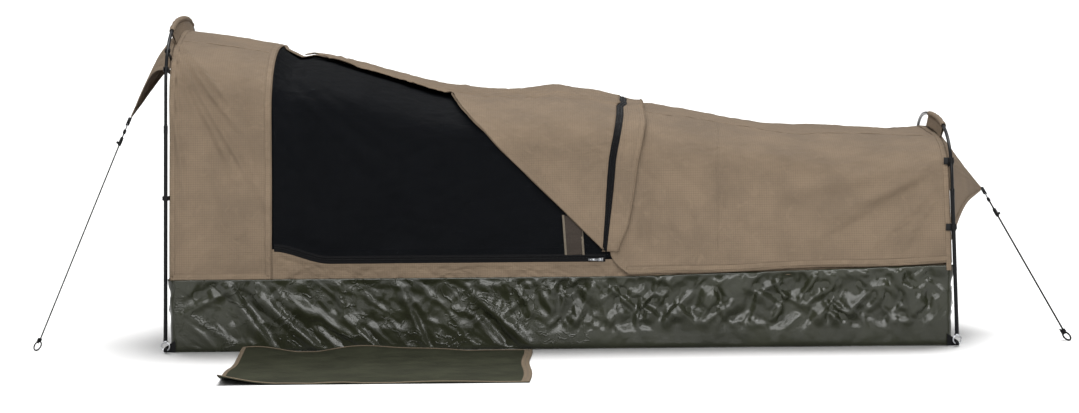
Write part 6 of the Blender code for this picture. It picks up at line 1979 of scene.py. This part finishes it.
def mat_points(u, v):
    """u runs from the head to the foot, v from the tub outward. Height: waves that die out on the flat."""
    x = HEAD_END + MAT_FROM_HEAD + MAT_LENGTH * u - MAT_SPLAY * v * (1 - u)
    y = -HALF_WIDTH - MAT_OFF - MAT_DEPTH * v
    x = x + 0.004 * np.sin(9 * v + 1) * smooth_step(u) - 0.003 * np.sin(11 * v) * (1 - u)
    y = y + 0.005 * np.sin(8 * u + 0.5) * (1 - v) + 0.002 * np.sin(23 * u) * (1 - v)
    ruck = np.clip(0.55 + waves(x, 0 * y, 0.26, 601, 7), 0, 2) * np.exp(-((v / 0.10) ** 2)) * RUCK
    swell = np.clip(waves(x, y, 0.30, 603, 9, 1.5, 0.5), 0, 1) * MAT_SWELL
    front = np.clip(waves(x, 0 * y, 0.35, 605, 6), 0, 1) * smooth_step((v - 0.85) / 0.15) * FRONT
    away = np.hypot(u * MAT_LENGTH, (1 - v) * MAT_DEPTH)
    curl = np.clip(1 - away / CURL_REACH, 0, 1) ** 1.5 * CURL
    height = np.minimum(ruck + swell * smooth_step(v / 0.1) + front + curl, MAT_TOP)
    return np.stack([x, y, height + 0.0002], axis=-1)


u, v = np.meshgrid(np.linspace(0, 1, 168), np.linspace(0, 1, 130), indexing="ij")
low = mat_points(u, v)
flat = np.stack([u * MAT_LENGTH, v * MAT_DEPTH], axis=-1)
mat_mesh = shell("ground_mat", low + [0, 0, MAT_CLOTH], low, flat)


def coated_cloth(name, colour):
    """Coated weave: coarse threads show through a dull skin, with scuffs and pale dust in the hollows."""
    cloth = Finish(name)
    weave = cloth.math("MULTIPLY", cloth.sine(cloth.u, MAT_WEAVE), cloth.sine(cloth.v, MAT_WEAVE))
    mottle = cloth.noise(0.10, 5, 0.65)
    streak = cloth.noise(0.030, 4, 0.6, stretch=(4, 0.6, 1))
    base = cloth.colour(cloth.remap(mottle, 0.3, 0.75), shade(colour, 0.8), shade(colour, 1.35))
    base = cloth.colour(cloth.remap(streak, 0.55, 0.8, 0, 0.35), base, shade(colour, 1.6))
    cloth.put(base=base, rough=cloth.remap(mottle, 0.3, 0.7, 0.60, 0.80), shine=0.05)
    return cloth.bump(cloth.total((weave, 0.10), (mottle, 1.0), (streak, 0.6)), 0.0018).made


mat_olive = coated_cloth("mat_olive", (0.026, 0.0275, 0.0175))
finished("ground_mat", mat_mesh, mat_olive, "mat", ["entry_mat"])
edge_tape = webbing("edge_tape", (0.105, 0.080, 0.054), flat=True)
strips, rows = [], []
s = np.linspace(0.002, 0.998, 260)
for a, b, width in (
    (s, 0 * s + 0.008, 0.011), (s, 0 * s + 0.992, 0.011), (0 * s + 0.006, s, 0.011), (0 * s + 0.987, s, 0.022)
):
    path = mat_points(a, b) + [0, 0, MAT_CLOTH + 0.0001]
    beside = mat_points(a + 0.002, b) - mat_points(a - 0.002, b)
    ahead = mat_points(a, b + 0.002) - mat_points(a, b - 0.002)
    up = unit(np.cross(ahead, beside))
    up = up * np.sign(up[:, 2:])
    strips.append(ribbon("mat_binding", path, up, width, 0.0008, 0.0005))
    rows.append(stitches("mat_thread", path + up * 0.0012, up))
finished("mat_binding", joined("mat_binding", strips), edge_tape, "mat")
finished("mat_thread", joined("mat_thread", rows), dark_thread, "mat")
print("mat laid down")

# %% [markdown]
# ## The mattress
#
# A slab of foam fills the tub, in a cover that bulges a little between its seams. I let Blender's cloth solver blow
# the cover up by a few millimetres from a slightly smaller slab and cap how far it may move, since foam is firm.

# %% Mattress
MATTRESS_LOW, MATTRESS_THICK, MATTRESS_X, MATTRESS_Y = 0.0036, 0.062, 1.046, 0.428
SLAB_ROUND, PRESSURE, CAP, FRAMES = 0.016, 4.0, 0.009, 20


def slab(name, half_x, half_y, low, high, step):
    """A closed box grid with rounded edges, as the rest shape of the cover."""
    nx, ny = int(2 * half_x / step), int(2 * half_y / step)
    u, v = np.meshgrid(np.linspace(-1, 1, nx), np.linspace(-1, 1, ny), indexing="ij")
    edge = np.minimum((1 - np.abs(u)) * half_x, (1 - np.abs(v)) * half_y)
    drop = SLAB_ROUND * (1 - np.sqrt(np.clip(1 - (1 - np.clip(edge / SLAB_ROUND, 0, 1)) ** 2, 0, 1)))
    x, y = u * half_x, v * half_y * (1 - 0.008 * (1 - u**2))
    uv = np.stack([x, y], axis=-1)
    top = np.stack([x, y, high - drop], axis=-1)
    bottom = np.stack([x, y, low + drop * 0.6], axis=-1)
    return shell(name, top, bottom, uv)


def inflate(piece, low):
    """Blow a closed mesh up with the cloth solver, then keep each point within CAP of its start and above low."""
    start = np.empty(len(piece.data.vertices) * 3, np.float32)
    piece.data.vertices.foreach_get("co", start)
    start = start.reshape(-1, 3).astype(float)
    solver = piece.modifiers.new("cloth", "CLOTH")
    solver.settings.use_pressure = True
    solver.settings.uniform_pressure_force = PRESSURE
    solver.settings.effector_weights.gravity = 0
    solver.settings.quality = 4
    solver.collision_settings.use_collision = False
    solver.point_cache.frame_start, solver.point_cache.frame_end = 1, FRAMES
    scene = bpy.context.scene
    for number in range(1, FRAMES + 1):
        scene.frame_set(number)
    evaluated = piece.evaluated_get(bpy.context.evaluated_depsgraph_get())
    swollen = np.empty(len(start) * 3, np.float32)
    evaluated.data.vertices.foreach_get("co", swollen)
    piece.modifiers.remove(solver)
    scene.frame_set(1)
    move = swollen.reshape(-1, 3) - start
    size = np.linalg.norm(move, axis=1, keepdims=True) + 1e-9
    points = start + move / size * CAP * np.tanh(size / CAP)
    points[:, 2] = np.maximum(points[:, 2], low)
    piece.data.vertices.foreach_set("co", points.astype(np.float32).ravel())
    piece.data.update()


slab_low, slab_high = MATTRESS_LOW + 0.004, MATTRESS_LOW + MATTRESS_THICK - 0.003
mattress_mesh = slab("mattress", MATTRESS_X - 0.012, MATTRESS_Y - 0.010, slab_low, slab_high, 0.016)
# The cover is made dark as painted shade, so the inside reads dark through the net.
cover_cloth_shaded = canvas("cover_cloth_shaded", (0.050, 0.052, 0.044))
mattress = finished("mattress", mattress_mesh, cover_cloth_shaded, "swag", ["mattress_cover", "mattress_foam"])
inflate(mattress, MATTRESS_LOW)
